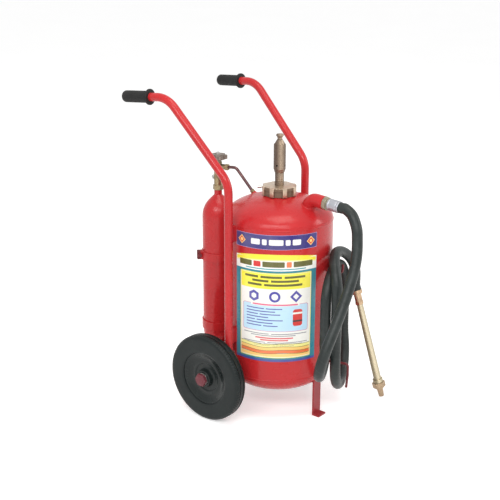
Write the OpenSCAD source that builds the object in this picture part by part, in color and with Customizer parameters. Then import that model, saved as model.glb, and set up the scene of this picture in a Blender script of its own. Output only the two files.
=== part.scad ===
// Wheeled dry powder fire extinguisher with a side gas cylinder.
// Millimetres, +Z up, front towards -Y. The floor is z = 0. Pieces are placed from the tank's axis.

/* [Tank] */
// Outside diameter of the tank
tank_d = 350; // [330:1:370]
// Wall of the tank and its dished ends
tank_wall = 3; // [2:0.5:4]
// Length of the straight shell
shell_len = 500; // [480:1:540]
// Height of the shell's lower edge above the floor
shell_z = 150; // [146:1:160]
// Depth of each dished end
dish_depth = 75; // [70:1:80]
// Outside diameter of the filling neck
neck_d = 88; // [80:1:92]
// Bore of the filling neck
neck_bore = 60; // [50:1:66]
// Height of the neck above the crown of the dish
neck_stand = 14; // [12:0.5:18]

/* [Cap] */
// Diameter of the cap over its lugs
cap_d = 112; // [104:1:118]
// Thickness of the cap's top
cap_top = 12; // [9:0.5:15]
// Wall of the cap's skirt
cap_skirt = 5; // [4:0.5:6]
// Number of lugs round the cap
cap_lugs = 8; // [6:1:10]
// Width of a lug
cap_lug_w = 16; // [12:0.5:18]
// Thickness of the gasket under the cap
gasket_t = 3; // [2:0.5:4]

/* [Relief valve] */
// Diameter of the valve's foot
relief_foot_d = 29; // [27:0.5:32]
// Height of the valve's foot
relief_foot_h = 42; // [36:1:48]
// Diameter of the spring barrel
relief_barrel_d = 39; // [36:0.5:42]
// Length of the spring barrel
relief_barrel_h = 91; // [80:1:100]
// Bore of the spring barrel
relief_bore = 26; // [24:0.5:28]
// Height of the cone on the barrel
relief_cone_h = 16; // [12:1:20]
// Diameter of the lifting stem
relief_stem_d = 7; // [6:0.5:8]
// Diameter of the pull knob
relief_knob_d = 24; // [20:0.5:26]
// Height of the pull knob
relief_knob_h = 17; // [14:0.5:20]
// Lift of the relief valve
relief_lift = 6; // [4:0.5:8]
// Wire of the relief spring
relief_wire = 2.5; // [2:0.1:3]
// Turns of the relief spring
relief_turns = 7; // [5:1:9]

/* [Outlet] */
// Distance of the outlet riser in front of the tank's axis
outlet_y = 116; // [110:1:122]
// Outside diameter of the outlet elbow
outlet_d = 42.4; // [40:0.2:44]
// Wall of the outlet elbow
outlet_wall = 4; // [3:0.5:5]
// Bend radius of the outlet elbow
outlet_bend = 28; // [24:1:32]
// Droop of the outlet below level
outlet_droop = 5; // [0:1:8]
// Straight end of the outlet elbow
outlet_end = 30.1; // [26:0.1:34]
// Outside diameter of the siphon tube
siphon_d = 33.7; // [30:0.5:36]
// Wall of the siphon tube
siphon_wall = 2; // [1.5:0.5:3]
// Gap between the siphon tube and the bottom of the tank
siphon_clear = 15; // [10:1:30]

/* [Hose] */
// Outside diameter of the hose
hose_d = 34; // [32:0.5:35]
// Diameter of the crimped ferrule
ferrule_d = 37.6; // [36.5:0.1:39]
// Length of the crimped ferrule
ferrule_len = 41; // [34:1:48]
// Radius of the hank's folds
fold_r = 102; // [98:1:106]
// Straight run between the hank's folds
hank_run = 240; // [230:1:256]
// Height of the centre of the hank's lower folds
hank_z = 210; // [204:1:218]
// Turn of the hank round the tank from the front
hank_turn = 17; // [14:1:20]
// Gap between the first strand and the tank
hank_clear = 5; // [4:0.5:8]
// Gap between neighbouring strands
strand_gap = 2; // [1.5:0.5:4]

/* [Nozzle] */
// Tilt of the hanging nozzle
nozzle_tilt = 14.5; // [12:0.5:16]
// Diameter of the hose coupling
coupling_d = 25; // [24:0.5:27]
// Length of the hose coupling
coupling_len = 52; // [44:1:60]
// Length of the nozzle tube
nozzle_tube_len = 278; // [260:1:290]
// Upper diameter of the nozzle tube
nozzle_tube_d = 21; // [20:0.5:23]
// Lower diameter of the nozzle tube
nozzle_tube_end_d = 26; // [25:0.5:28]
// Bore of the nozzle
nozzle_bore = 14; // [12:0.5:16]
// Diameter of the shut-off collar
collar_d = 44; // [40:1:48]
// Length of the shut-off collar
collar_len = 18; // [14:1:22]
// Length of the nozzle tip
tip_len = 34; // [28:1:38]

/* [Handles] */
// Outside diameter of the handle tubes
handle_d = 26.9; // [25:0.1:28]
// Wall of the handle tubes
handle_wall = 2.6; // [2:0.1:3.2]
// Distance from the tank's side to the middle of a handle tube
handle_gap = 26; // [24:1:31]
// Distance of the handle tubes behind the tank's axis
handle_y = 44; // [40:1:48]
// Height of the lower end of the handle tubes
handle_low_z = 118; // [112:1:124]
// Height of the lower bend
bend_low_z = 790; // [770:1:810]
// Distance of the upper bend behind the tank's axis
bend_top_y = 275; // [260:1:290]
// Height of the upper bend
bend_top_z = 1033; // [1010:1:1060]
// Outward spread of each handle at its upper bend
handle_spread = 19; // [10:1:25]
// Length from the upper bend to the end of the tube
handle_end = 170; // [160:1:185]
// Droop of the grips below level
grip_droop = 4; // [0:1:8]
// Radius of the handle bends
handle_bend = 85; // [75:1:92]
// Diameter of a grip
grip_d = 38; // [34:0.5:42]
// Length of a grip
grip_len = 110; // [100:1:125]
// Rounding of a grip's end
grip_round = 12; // [8:0.5:14]
// Diameter of a grip's flange
grip_flange_d = 51; // [46:0.5:54]

/* [Wheels] */
// Diameter of the wheels
wheel_d = 288; // [280:1:296]
// Width of the tyres
tyre_w = 46; // [42:1:50]
// Rim diameter under the tyre
rim_d = 176; // [168:1:184]
// Distance from the middle of a handle tube to its wheel's middle plane
wheel_gap = 41; // [40:1:45]
// Distance of the axles behind the tank's axis
axle_y = 99; // [96:1:102]
// Diameter of the stub axles
axle_d = 25; // [22:0.5:27]
// Width of the wheel hubs
hub_w = 50.4; // [48:0.2:52]
// Wall of the hub bushes
bush_wall = 4.5; // [3:0.5:6]
// Size across the corners of the hub nuts
hub_nut_d = 44; // [42:1:48]
// Thickness of the hub nuts
hub_nut_t = 11; // [9:0.5:13]

/* [Gas cylinder] */
// Diameter of the gas cylinder
gas_d = 108; // [104:1:112]
// Wall of the gas cylinder
gas_wall = 5; // [4:0.5:6]
// Gap between the tank and the gas cylinder
gas_gap = 28; // [25:1:33]
// Height of the gas cylinder's base
gas_z = 156; // [154:1:162]
// Length from the base to the shoulder
gas_len = 452; // [440:1:462]
// Radius of the curve of the gas cylinder's shoulder
gas_shoulder = 80; // [74:1:84]
// Diameter of the gas cylinder's neck
gas_neck_d = 27; // [26:0.5:29]
// Height of the lower clamp
clamp_low_z = 223; // [216:1:232]
// Height of the upper clamp
clamp_high_z = 472; // [450:1:490]
// Width of a clamp band
clamp_w = 30; // [24:1:36]
// Thickness of a clamp band
clamp_t = 4; // [3:0.5:5]
// Diameter of the gas pipe
gas_pipe_d = 10; // [8:0.5:11]
// Distance of the gas inlet from the gas cylinder's axis
inlet_reach = 132; // [128:1:136]
// Turn of the gas pipe about the gas cylinder's axis
pipe_turn = 14.5; // [10:0.5:18]
// Diameter of the valve handwheel
handwheel_d = 64; // [56:1:70]
// Thickness of the valve handwheel
handwheel_t = 17; // [14:1:20]

/* [Leg and hooks] */
// Width of the front leg
leg_w = 38; // [32:1:44]
// Thickness of the front leg
leg_t = 6; // [5:0.5:8]
// Distance of the leg's front face behind the tank's front
leg_set = 9; // [7:0.5:11]
// Length of the leg's toe
toe_len = 28; // [20:1:34]
// Height of the leg's upper end
leg_top = 128; // [124:1:134]
// Diameter of the hose hooks' bar
hook_d = 8; // [7:0.5:10]

/* [Labels] */
// Turn of the labels' front edge from the tank's front
label_turn = 10.5; // [6:0.5:20]
// Gap between the labels' rear edge and the handle's stays
label_gap = 2; // [1:0.5:10]
// Thickness of the labels
label_t = 0.4; // [0.3:0.1:0.6]

/* [Fits] */
// Gap between fitted pieces that do not move
seat_gap = 0.2; // [0.1:0.05:0.3]
// Running clearance on the radius of a turning piece
run_gap = 0.06; // [0.03:0.01:0.08]
// End gap beside a turning or sliding piece
end_gap = 0.4; // [0.3:0.1:0.6]

/* [Hidden] */

$fn = 96;
bar_fn = 48;
bend_lap = 0.1;
bend_swell = 0.02;
tank_r = tank_d / 2;
shell_top = shell_z + shell_len;
crown_z = shell_top + dish_depth;
neck_top = crown_z + neck_stand;
cap_under = neck_top + gasket_t;
cap_z = cap_under + cap_top;
hose_r = hose_d / 2;
hook_r = hook_d / 2;
handle_x = tank_r + handle_gap;
wheel_x = handle_x + wheel_gap;
gas_y = tank_r + gas_gap + gas_d / 2;
leg_y = tank_r - leg_set;

// The origin is on the floor, midway between the foremost hook and the grips' ends.
hank_w = tank_r + hank_clear + hose_r;
strand_pitch = hose_d + strand_gap;
hank_lap = 2 * hank_run + 2 * PI * fold_r;
hank_fold = PI * fold_r;
hank_start = 111;
hank_stub = 36;
hank_end = hank_lap + hank_run - hank_stub;
tail_end = hank_lap + hank_run + hank_fold;
// The first lap climbs one layer, along its way down and round the lower fold. Its upper fold lies
// lower than the last one, which leans in over it, so that the two lie stacked on the hook.
fold_drop = 44;
climb_delay = 150;
climb_start = hank_run + hank_fold + climb_delay;
function climb_at(f) = f * f * (3 - 2 * f);
function lean_at(f) = abs(f - 0.5) < 0.5 ? pow(cos(180 * f), 2) : 1;
// Distance of the strand from the tank's axis at a length s along the hank
function strand_w(s) = hank_w + strand_pitch * (s < hank_lap
    ? climb_at(max(0, s - climb_start) / (hank_lap - climb_start))
    : lean_at((s - hank_lap - hank_run) / hank_fold));
hook_play = 1;
hook_seat = hose_r + hook_play + hook_r;
hook_lean = 4;
top_hook_reach = hank_w + hook_seat;
low_hook_reach = strand_w(hank_lap - hank_fold / 2) + hook_seat + hook_lean;
front_reach = low_hook_reach * cos(hank_turn) + hook_r;
grip_out = atan(handle_spread / (bend_top_y - handle_y));
grip_dir = [sin(grip_out) * cos(grip_droop), cos(grip_out) * cos(grip_droop), -sin(grip_droop)];
grip_cap = 6;
grip_tip = bend_top_y + (handle_end + seat_gap + grip_cap) * grip_dir.y;
grip_side = (grip_d / 2 - grip_round) * sqrt(1 - grip_dir.y * grip_dir.y);
back_reach = grip_tip + grip_side + grip_round * (1 - grip_dir.y);
tank_y = (front_reach - back_reach) / 2;

// ---- shared helpers ----

function unit(v) = v / norm(v);

// Places a frame by its origin and its three axes
module framed(o, x, y, z) {
    multmatrix([[x.x, y.x, z.x, o.x], [x.y, y.y, z.y, o.y], [x.z, y.z, z.z, o.z], [0, 0, 0, 1]])
        children();
}

// Puts +Z along a direction, from a point
module along(from, dir) {
    d = unit(dir);
    translate(from) rotate([0, acos(d.z), atan2(d.y, d.x)]) children();
}

module bar_profile(r, bore) {
    difference() {
        circle(r = r, $fn = bar_fn);
        if (bore > 0) circle(r = bore, $fn = bar_fn);
    }
}

// Length that a bend takes from each side of its corner
function cut_back(u, v, bend) = bend * tan(acos(u * v) / 2);

// The round corner of a bent bar or tube, from direction u to direction v
module corner(p, u, v, bend, r, bore) {
    n = unit(v - u * (u * v));
    framed(p - u * cut_back(u, v, bend) + n * bend, -n, u, cross(-n, u))
        rotate_extrude(angle = acos(u * v)) translate([bend, 0]) bar_profile(r, bore);
}

// A bar or tube bent round the corners of a list of points in one plane. Its straights are a hair
// thicker than its bends and reach a little into them, so that no two faces only touch.
module bent(points, bend, r, bore = 0) {
    n = len(points);
    dirs = [for (i = [0:n - 2]) unit(points[i + 1] - points[i])];
    side = unit(cross(dirs[0], dirs[1]));
    for (i = [0:n - 2]) {
        a = i == 0 ? 0 : cut_back(dirs[i - 1], dirs[i], bend) - bend_lap;
        b = i == n - 2 ? 0 : cut_back(dirs[i], dirs[i + 1], bend) - bend_lap;
        framed(points[i] + dirs[i] * a, cross(side, dirs[i]), side, dirs[i])
            linear_extrude(norm(points[i + 1] - points[i]) - a - b)
                bar_profile(r + bend_swell, bore > 0 ? bore - bend_swell : 0);
        if (i > 0) corner(points[i], dirs[i - 1], dirs[i], bend, r, bore);
    }
}

// Both sides of the machine
module both_sides() {
    children();
    mirror([1, 0, 0]) children();
}

module ring(od, id, h) {
    difference() {
        cylinder(h = h, d = od);
        translate([0, 0, -1]) cylinder(h = h + 2, d = id);
    }
}

// ---- tank ----

// Quarter outline of a dished end, from its edge to its crown
function dish_arc(r, h) = [for (a = [0:3.75:90]) [r * cos(a), h * sin(a)]];

function turned(list) = [for (i = [len(list) - 1:-1:0]) list[i]];

module dish() {
    rotate_extrude() polygon(concat(
        dish_arc(tank_r, dish_depth),
        turned(dish_arc(tank_r - tank_wall, dish_depth - tank_wall))
    ));
}

// The tank's outside as one solid, for cutting what is welded to it
module tank_outside() {
    arc = dish_arc(tank_r + seat_gap, dish_depth + seat_gap);
    rotate_extrude() polygon(concat(
        turned([for (q = arc) [q.x, shell_z - q.y]]),
        [for (q = arc) [q.x, shell_top + q.y]]
    ));
}

// Height of the top dish's outside at a distance from the axis
function dish_top(r) = shell_top + dish_depth * sqrt(1 - pow(r / tank_r, 2));

// Height of the tank's inner floor at a distance from the axis
function tank_floor(r) =
    shell_z - (dish_depth - tank_wall) * sqrt(1 - pow(r / (tank_r - tank_wall), 2));

module at_tank() {
    translate([0, tank_y, 0]) children();
}

module tank_shell() color("firebrick") at_tank() translate([0, 0, shell_z])
    ring(tank_d, tank_d - 2 * tank_wall, shell_len);

module top_dish() color("firebrick") at_tank() difference() {
    translate([0, 0, shell_top]) dish();
    translate([0, 0, shell_top]) cylinder(h = 2 * dish_depth, d = neck_d + 2 * seat_gap);
    at_inlet(2 * boss_sink) cylinder(h = 4 * boss_sink, d = boss_d + 2 * seat_gap);
    elbow(outlet_d / 2 + seat_gap);
}

module bottom_dish() color("firebrick") at_tank() translate([0, 0, shell_z]) mirror([0, 0, 1]) dish();

neck_root = 8;
module neck_ring() color("firebrick") at_tank() translate([0, 0, crown_z - neck_root])
    ring(neck_d, neck_bore, neck_root + neck_stand);

// A thin curved sheet on the tank, from the labels' front edge to just before the handle's stays
module label(low, high) {
    label_angle = 90 - label_turn + asin((handle_y - stay_w / 2 - label_gap) / tank_r);
    at_tank() rotate([0, 0, -90 - label_turn - label_angle]) translate([0, 0, low])
        rotate_extrude(angle = label_angle, $fn = 180)
            translate([tank_r + seat_gap / 2, 0]) square([label_t, high - low]);
}

strip_drop = 12;
strip_h = 47;
strip_gap = 15;
panel_rise = 67;
strip_high = shell_top - strip_drop;
strip_low = strip_high - strip_h;
panel_high = strip_low - strip_gap;
panel_low = shell_z + panel_rise;
module name_strip() color("midnightblue") label(strip_low, strip_high);
module instruction_label() color("white") label(panel_low, panel_high);

// ---- cap ----

module cap_gasket() color("dimgray") at_tank() translate([0, 0, neck_top])
    ring(neck_d - 1, neck_bore + 2, gasket_t);

spigot_d = 21;
cap_clear = 1;
cap_bottom = dish_top(neck_d / 2) + cap_clear;
cap_skirt_d = neck_d + 2 * seat_gap + 2 * cap_skirt;
cap_chamfer = 2;
cap_phase = 11;
lug_root = 1;
screw_turn = 127;
screw_d = 6;
screw_z = cap_under + cap_top / 2;
screw_depth = 10;
screw_head_d = 9;
screw_head_len = 13;
screw_stand = 1;

module cap() color("darkgoldenrod") at_tank() difference() {
    union() {
        translate([0, 0, cap_under]) cylinder(h = cap_top - cap_chamfer, d = cap_d);
        translate([0, 0, cap_z - cap_chamfer])
            cylinder(h = cap_chamfer, d1 = cap_d, d2 = cap_d - 2 * cap_chamfer);
        translate([0, 0, cap_bottom]) cylinder(h = cap_under - cap_bottom, d = cap_skirt_d);
        intersection() {
            for (i = [0:cap_lugs - 1]) rotate([0, 0, cap_phase + 360 * i / cap_lugs])
                translate([cap_skirt_d / 2 - lug_root, -cap_lug_w / 2, cap_bottom])
                    cube([cap_d / 2, cap_lug_w, cap_under - cap_bottom + 1]);
            translate([0, 0, cap_bottom]) cylinder(h = cap_under - cap_bottom + 1, d = cap_d);
        }
    }
    translate([0, 0, cap_bottom - 1])
        cylinder(h = cap_under - cap_bottom + 1, d = neck_d + 2 * seat_gap);
    cylinder(h = 2 * cap_z, d = spigot_d + 2 * seat_gap);
    rotate([0, 0, screw_turn]) translate([cap_d / 2 - screw_depth, 0, screw_z]) rotate([0, 90, 0])
        cylinder(h = cap_d, d = screw_d + 2 * seat_gap);
}

module cap_locking_screw() color("gray") at_tank() rotate([0, 0, screw_turn])
    translate([cap_d / 2, 0, screw_z]) rotate([0, 90, 0]) {
        translate([0, 0, screw_stand - screw_depth]) cylinder(h = screw_depth, d = screw_d);
        translate([0, 0, screw_stand]) cylinder(h = screw_head_len, d = screw_head_d);
    }

// ---- relief valve on the cap ----

relief_hex_h = 12;
relief_hex_d = 32.48;
relief_seat_h = 7;
relief_throat_d = 12;
seal_t = 3;
relief_seat_z = cap_z + relief_foot_h + relief_seat_h;
relief_top = cap_z + relief_foot_h + relief_barrel_h;
relief_spigot_d = relief_bore - 2 * seat_gap;
relief_stem_z = relief_seat_z + seal_t + end_gap;
relief_disc_d = 21;
relief_disc_t = 4;
relief_cone_top_d = 17;
bonnet_spigot = 8;
barrel_taper = 12;
bonnet_step = 1.5;
vent_d = 7;
knob_z = relief_top + relief_cone_h + end_gap;
knob_foot_d = 15.4;
knob_top_d = 15;
knob_rim_h = 4.25;
knob_crown_h = 2.55;
knob_flare_h = relief_knob_h - knob_rim_h - knob_crown_h;
knob_seat = 11.9;

module relief_body() color("darkgoldenrod") at_tank() difference() {
    union() {
        translate([0, 0, cap_under]) cylinder(h = cap_top, d = spigot_d);
        translate([0, 0, cap_z]) cylinder(h = relief_hex_h, d = relief_hex_d, $fn = 6);
        translate([0, 0, cap_z + relief_hex_h])
            cylinder(h = relief_foot_h - relief_hex_h, d = relief_foot_d);
        translate([0, 0, cap_z + relief_foot_h])
            cylinder(h = relief_seat_h, d = relief_spigot_d);
    }
    translate([0, 0, cap_under - 1]) cylinder(h = 2 * relief_foot_h, d = relief_throat_d);
}

module relief_barrel() color("darkgoldenrod") at_tank() difference() {
    translate([0, 0, cap_z + relief_foot_h]) difference() {
        union() {
            cylinder(h = barrel_taper, d1 = relief_foot_d + 2, d2 = relief_barrel_d);
            translate([0, 0, barrel_taper])
                cylinder(h = relief_barrel_h - barrel_taper, d = relief_barrel_d);
        }
        translate([0, 0, -1]) cylinder(h = relief_barrel_h + 2, d = relief_bore);
    }
    for (turn = [0:90:270]) rotate([0, 0, cap_phase + turn])
        translate([0, 0, relief_stem_z + relief_disc_t + relief_lift + vent_d / 2]) rotate([0, 90, 0])
            cylinder(h = relief_barrel_d, d = vent_d);
}

module relief_bonnet() color("darkgoldenrod") at_tank() difference() {
    union() {
        translate([0, 0, relief_top - bonnet_spigot]) cylinder(h = bonnet_spigot, d = relief_spigot_d);
        translate([0, 0, relief_top])
            cylinder(h = relief_cone_h, d1 = relief_barrel_d - 2 * bonnet_step, d2 = relief_cone_top_d);
    }
    translate([0, 0, relief_top - bonnet_spigot - 1])
        cylinder(h = relief_cone_h + bonnet_spigot + 2, d = relief_stem_d + 2 * run_gap);
}

// Seal under the valve's disc
module relief_seal() color("dimgray") at_tank() translate([0, 0, relief_seat_z + end_gap])
    cylinder(h = seal_t, d = relief_disc_d);

module relief_stem() color("silver") at_tank() {
    translate([0, 0, relief_stem_z]) cylinder(h = relief_disc_t, d = relief_disc_d);
    translate([0, 0, relief_stem_z])
        cylinder(h = knob_z + knob_seat - relief_stem_z, d = relief_stem_d);
}

module relief_knob() color("darkgoldenrod") at_tank() translate([0, 0, knob_z]) difference() {
    union() {
        cylinder(h = knob_flare_h, d1 = knob_foot_d, d2 = relief_knob_d);
        translate([0, 0, knob_flare_h]) cylinder(h = knob_rim_h, d = relief_knob_d);
        translate([0, 0, knob_flare_h + knob_rim_h])
            cylinder(h = knob_crown_h, d1 = relief_knob_d, d2 = knob_top_d);
    }
    translate([0, 0, -1]) cylinder(h = knob_seat + 1 + seat_gap, d = relief_stem_d + 2 * seat_gap);
}

// ---- swept tubes ----

// Sideways directions carried along a path without twist
function carried(t, i = 0, done = []) =
    i == len(t) ? done :
    let (from = i == 0 ? (abs(t[0].z) < 0.9 ? [0, 0, 1] : [1, 0, 0]) : done[i - 1])
    carried(t, i + 1, concat(done, [unit(from - t[i] * (from * t[i]))]));

// A closed tube with triangle faces along a list of points
module tube(path, r, sides) {
    n = len(path);
    t = [for (i = [0:n - 1]) unit(path[min(i + 1, n - 1)] - path[max(i - 1, 0)])];
    side = carried(t);
    points = [for (i = [0:n - 1], k = [0:sides - 1])
        path[i] + r * (cos(360 * k / sides) * side[i] + sin(360 * k / sides) * cross(t[i], side[i]))];
    walls = [for (i = [0:n - 2], k = [0:sides - 1])
        let (a = i * sides + k, b = i * sides + (k + 1) % sides)
        each [[a, b + sides, b], [a, a + sides, b + sides]]];
    ends = [for (k = [1:sides - 2]) each [[0, k, k + 1],
        [(n - 1) * sides, (n - 1) * sides + k + 1, (n - 1) * sides + k]]];
    polyhedron(points = points, faces = concat(walls, ends), convexity = 10);
}

// A smooth curve through a list of points
function blend_at(a, b, c, d, f) = 0.5 * (2 * b + (c - a) * f
    + (2 * a - 5 * b + 4 * c - d) * pow(f, 2) + (3 * b - a - 3 * c + d) * pow(f, 3));
function curve(p, steps) = concat(
    [for (i = [0:len(p) - 2], k = [0:steps - 1])
        blend_at(p[max(i - 1, 0)], p[i], p[i + 1], p[min(i + 2, len(p) - 1)], k / steps)],
    [p[len(p) - 1]]
);

function lengths(p) = [for (i = [1:len(p) - 1]) norm(p[i] - p[i - 1])];
function total(list, i = 0) = i == len(list) ? 0 : list[i] + total(list, i + 1);

// ---- relief spring ----

spring_r = relief_disc_d / 2 - relief_wire / 2;
spring_low = relief_stem_z + relief_disc_t + relief_wire / 2 + end_gap;
spring_high = relief_top - bonnet_spigot - relief_wire / 2 - end_gap;
spring_steps = 12;
spring_path = [for (i = [0:relief_turns * spring_steps]) [
    spring_r * cos(360 * i / spring_steps),
    spring_r * sin(360 * i / spring_steps),
    spring_low + (spring_high - spring_low) * i / (relief_turns * spring_steps)
]];

module relief_spring() color("gray") at_tank() tube(spring_path, relief_wire / 2, 6);

// ---- outlet ----

outlet_r = outlet_d / 2;
outlet_bore_r = outlet_r - outlet_wall;
outlet_sink = 6.43;
// Height at which the riser starts to bend
outlet_z = dish_top(outlet_y) - outlet_sink;
outlet_leg = 33.8;
// Direction of the outlet, the corner of its elbow and the end of its elbow
outlet_dir = [0, -cos(outlet_droop), -sin(outlet_droop)];
outlet_cut = outlet_bend * tan((90 + outlet_droop) / 2);
outlet_corner = [0, -outlet_y, outlet_z + outlet_cut];
outlet_stop = outlet_corner + outlet_dir * (outlet_cut + outlet_end);
adaptor_hex = 13;
adaptor_neck = 4;
adaptor_spigot = 10;
adaptor_hex_d = outlet_d + 3;
hose_bore_r = hose_r - 5;
ferrule_start = outlet_stop + outlet_dir * (adaptor_hex + adaptor_neck);
hose_exit = ferrule_start + outlet_dir * ferrule_len;

// The elbow's riser, bend and straight end
module elbow(r, bore = 0) {
    bent([[0, -outlet_y, outlet_z - outlet_leg], outlet_corner, outlet_stop], outlet_bend, r, bore);
}

module outlet_elbow() color("firebrick") at_tank() elbow(outlet_r, outlet_bore_r);

siphon_low = tank_floor(outlet_y) + siphon_clear;
module siphon_tube() color("silver") at_tank() translate([0, -outlet_y, siphon_low])
    ring(siphon_d, siphon_d - 2 * siphon_wall, outlet_z - outlet_leg - siphon_low);

module outlet_adaptor() color("darkkhaki") at_tank() along(outlet_stop, outlet_dir) difference() {
    union() {
        translate([0, 0, -adaptor_spigot]) cylinder(h = adaptor_spigot, r = outlet_bore_r - seat_gap);
        cylinder(h = adaptor_hex, d = adaptor_hex_d, $fn = 6);
        translate([0, 0, adaptor_hex]) cylinder(h = adaptor_neck, r = outlet_bore_r);
    }
    translate([0, 0, -adaptor_spigot - 1]) cylinder(h = 40, r = hose_bore_r);
}

module hose_ferrule() color("silver") at_tank() along(ferrule_start, outlet_dir) difference() {
    cylinder(h = ferrule_len, d = ferrule_d);
    translate([0, 0, -1]) cylinder(h = ferrule_len + 2, r = hose_bore_r);
}

// ---- hose ----

// A point beside the tank: distance from the axis, sideways and up, on the hank's own plane
function beside(w, u, z) = [
    w * sin(hank_turn) + u * cos(hank_turn),
    -w * cos(hank_turn) + u * sin(hank_turn),
    z
];

// The hank's course: sideways and up, at a length s from the foot of its first upward run
function hank_course(s) =
    let (m = s - hank_lap * floor(s / hank_lap), run = s < hank_lap ? hank_run - fold_drop : hank_run)
    m < hank_run ? [-fold_r, run * m / hank_run] :
    m < hank_run + hank_fold ? let (a = (m - hank_run) / hank_fold * 180)
        [-fold_r * cos(a), run + fold_r * sin(a)] :
    m < 2 * hank_run + hank_fold ? [fold_r, run * (2 * hank_run + hank_fold - m) / hank_run] :
    let (a = (m - 2 * hank_run - hank_fold) / hank_fold * 180) [fold_r * cos(a), -fold_r * sin(a)];

function hank_point(s) = let (q = hank_course(s)) beside(strand_w(s), q.x, hank_z + q.y);

hank_rings = 24;
hank_step = hank_lap / hank_rings;
hank_steps = ceil((hank_end - hank_start) / hank_step);
hank_path = [for (i = [0:hank_steps])
    hank_point(hank_start + (hank_end - hank_start) * i / hank_steps)];

// The hose from its ferrule down in front of the tank and up to the hank
lead_bend = 22;
lead_points = [
    [-4, -283, 702], [-11, -304, 668], [-16, -311, 632], [-27, -318, 588], [-44, -321, 545],
    [-65, -321, 502], [-88, -320, 459], [-116, -318, 412], [-145, -315, 364],
    [-170, -311, 320], [-184, -305, 278], [-178, -294, 243], [-152, -277, 220],
    [-114, -257, 211], [-76, -239, 220], [-50, -226, 243]
];
lead_from = hose_exit + outlet_dir * lead_bend;
lead_to = hank_path[0] - unit(hank_path[1] - hank_path[0]) * lead_bend;
lead_path = concat([hose_exit], curve(concat([lead_from], lead_points, [lead_to]), 2), [hank_path[0]]);

// The hose from the hank over the upper hook and down to the nozzle
nozzle_turn = -54;
nozzle_dir = [
    sin(nozzle_tilt) * cos(nozzle_turn),
    sin(nozzle_tilt) * sin(nozzle_turn),
    -cos(nozzle_tilt)
];
nozzle_out = 4;
nozzle_side = 1;
nozzle_drop = 52;
nozzle_stub = 16;
nozzle_top = beside(strand_w(tail_end) + nozzle_out, fold_r + nozzle_side, hank_z + hank_run - nozzle_drop);
tail_stub = 24;
tail_steps = 11;
tail_path = concat(
    [for (i = [0:tail_steps]) hank_point(hank_end + (tail_end - hank_end) * i / tail_steps)],
    [hank_point(tail_end + tail_stub), nozzle_top - nozzle_dir * nozzle_stub, nozzle_top]
);

module hose_lead() color("#222222") at_tank() tube(lead_path, hose_r, 10);
module hose_hank() color("#222222") at_tank() tube(hank_path, hose_r, 6);
module hose_tail() color("#222222") at_tank() tube(tail_path, hose_r, 10);

// Least gap between the hank's strands, half a lap or more apart
function self_gap(p, apart) = min([for (i = [0:len(p) - 1], j = [0:len(p) - 1])
    if (j >= i + apart) norm(p[j] - p[i])]) - hose_d;
hank_fine = [for (s = [hank_start:8:hank_end]) hank_point(s)];
echo(hank_self_gap = self_gap(hank_fine, 30));
echo(hose_length = total(lengths(lead_path)) + total(lengths(hank_fine)) + total(lengths(tail_path)));

// ---- nozzle ----

nozzle_seat = 12;
collar_z = coupling_len + nozzle_tube_len + nozzle_seat;
nozzle_seat_d = 34;
sleeve_d = 24;
tip_flange = 3;
tip_flange_d = 30;
tip_d = 22;
tip_end_d = 18;
module at_nozzle(z) {
    at_tank() along(nozzle_top + nozzle_dir * z, nozzle_dir) children();
}

coupling_hex = 9;
coupling_hex_d = 30;
coupling_mouth = 14;
coupling_mouth_d = hose_d + 2;
module nozzle_coupling() color("goldenrod") at_nozzle(0) difference() {
    union() {
        cylinder(h = coupling_len, d = coupling_d);
        cylinder(h = coupling_mouth, d = coupling_mouth_d);
        translate([0, 0, coupling_len - coupling_hex])
            cylinder(h = coupling_hex, d = coupling_hex_d, $fn = 6);
    }
    translate([0, 0, -1]) cylinder(h = coupling_len + 2, d = nozzle_bore);
}

module nozzle_tube() color("goldenrod") at_nozzle(coupling_len) difference() {
    union() {
        cylinder(h = nozzle_tube_len, d1 = nozzle_tube_d, d2 = nozzle_tube_end_d);
        translate([0, 0, nozzle_tube_len]) cylinder(h = nozzle_seat, d = nozzle_seat_d);
    }
    translate([0, 0, -1]) cylinder(h = nozzle_tube_len + nozzle_seat + 2, d = nozzle_bore);
}

collar_groove = 2.5;
collar_rib_d = 8;
// Shut-off collar that twists about the nozzle
module nozzle_collar() color("goldenrod") at_nozzle(collar_z + end_gap) difference() {
    union() {
        cylinder(h = collar_len, d = collar_d - 2 * collar_groove);
        for (turn = [0:60:300]) rotate([0, 0, turn]) translate([(collar_d - collar_rib_d) / 2, 0, 0])
            cylinder(h = collar_len, d = collar_rib_d, $fn = bar_fn);
    }
    translate([0, 0, -1]) cylinder(h = collar_len + 2, d = sleeve_d + 2 * run_gap);
}

module nozzle_tip() color("goldenrod") at_nozzle(collar_z) difference() {
    union() {
        cylinder(h = collar_len + 2 * end_gap, d = sleeve_d);
        translate([0, 0, collar_len + 2 * end_gap]) cylinder(h = tip_flange, d = tip_flange_d);
        translate([0, 0, collar_len + 2 * end_gap + tip_flange])
            cylinder(h = tip_len - tip_flange, d1 = tip_d, d2 = tip_end_d);
    }
    translate([0, 0, -1]) cylinder(h = collar_len + tip_len + 4, d = nozzle_bore);
}

// ---- gas cylinder, valve and pipe ----

gas_r = gas_d / 2;
gas_neck_r = gas_neck_d / 2;
gas_foot = 40;
gas_neck_h = 17;
gas_shoulder_z = gas_z + gas_len;
valve_spigot_d = 19;
gas_mouth_r = valve_spigot_d / 2 + seat_gap;

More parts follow.
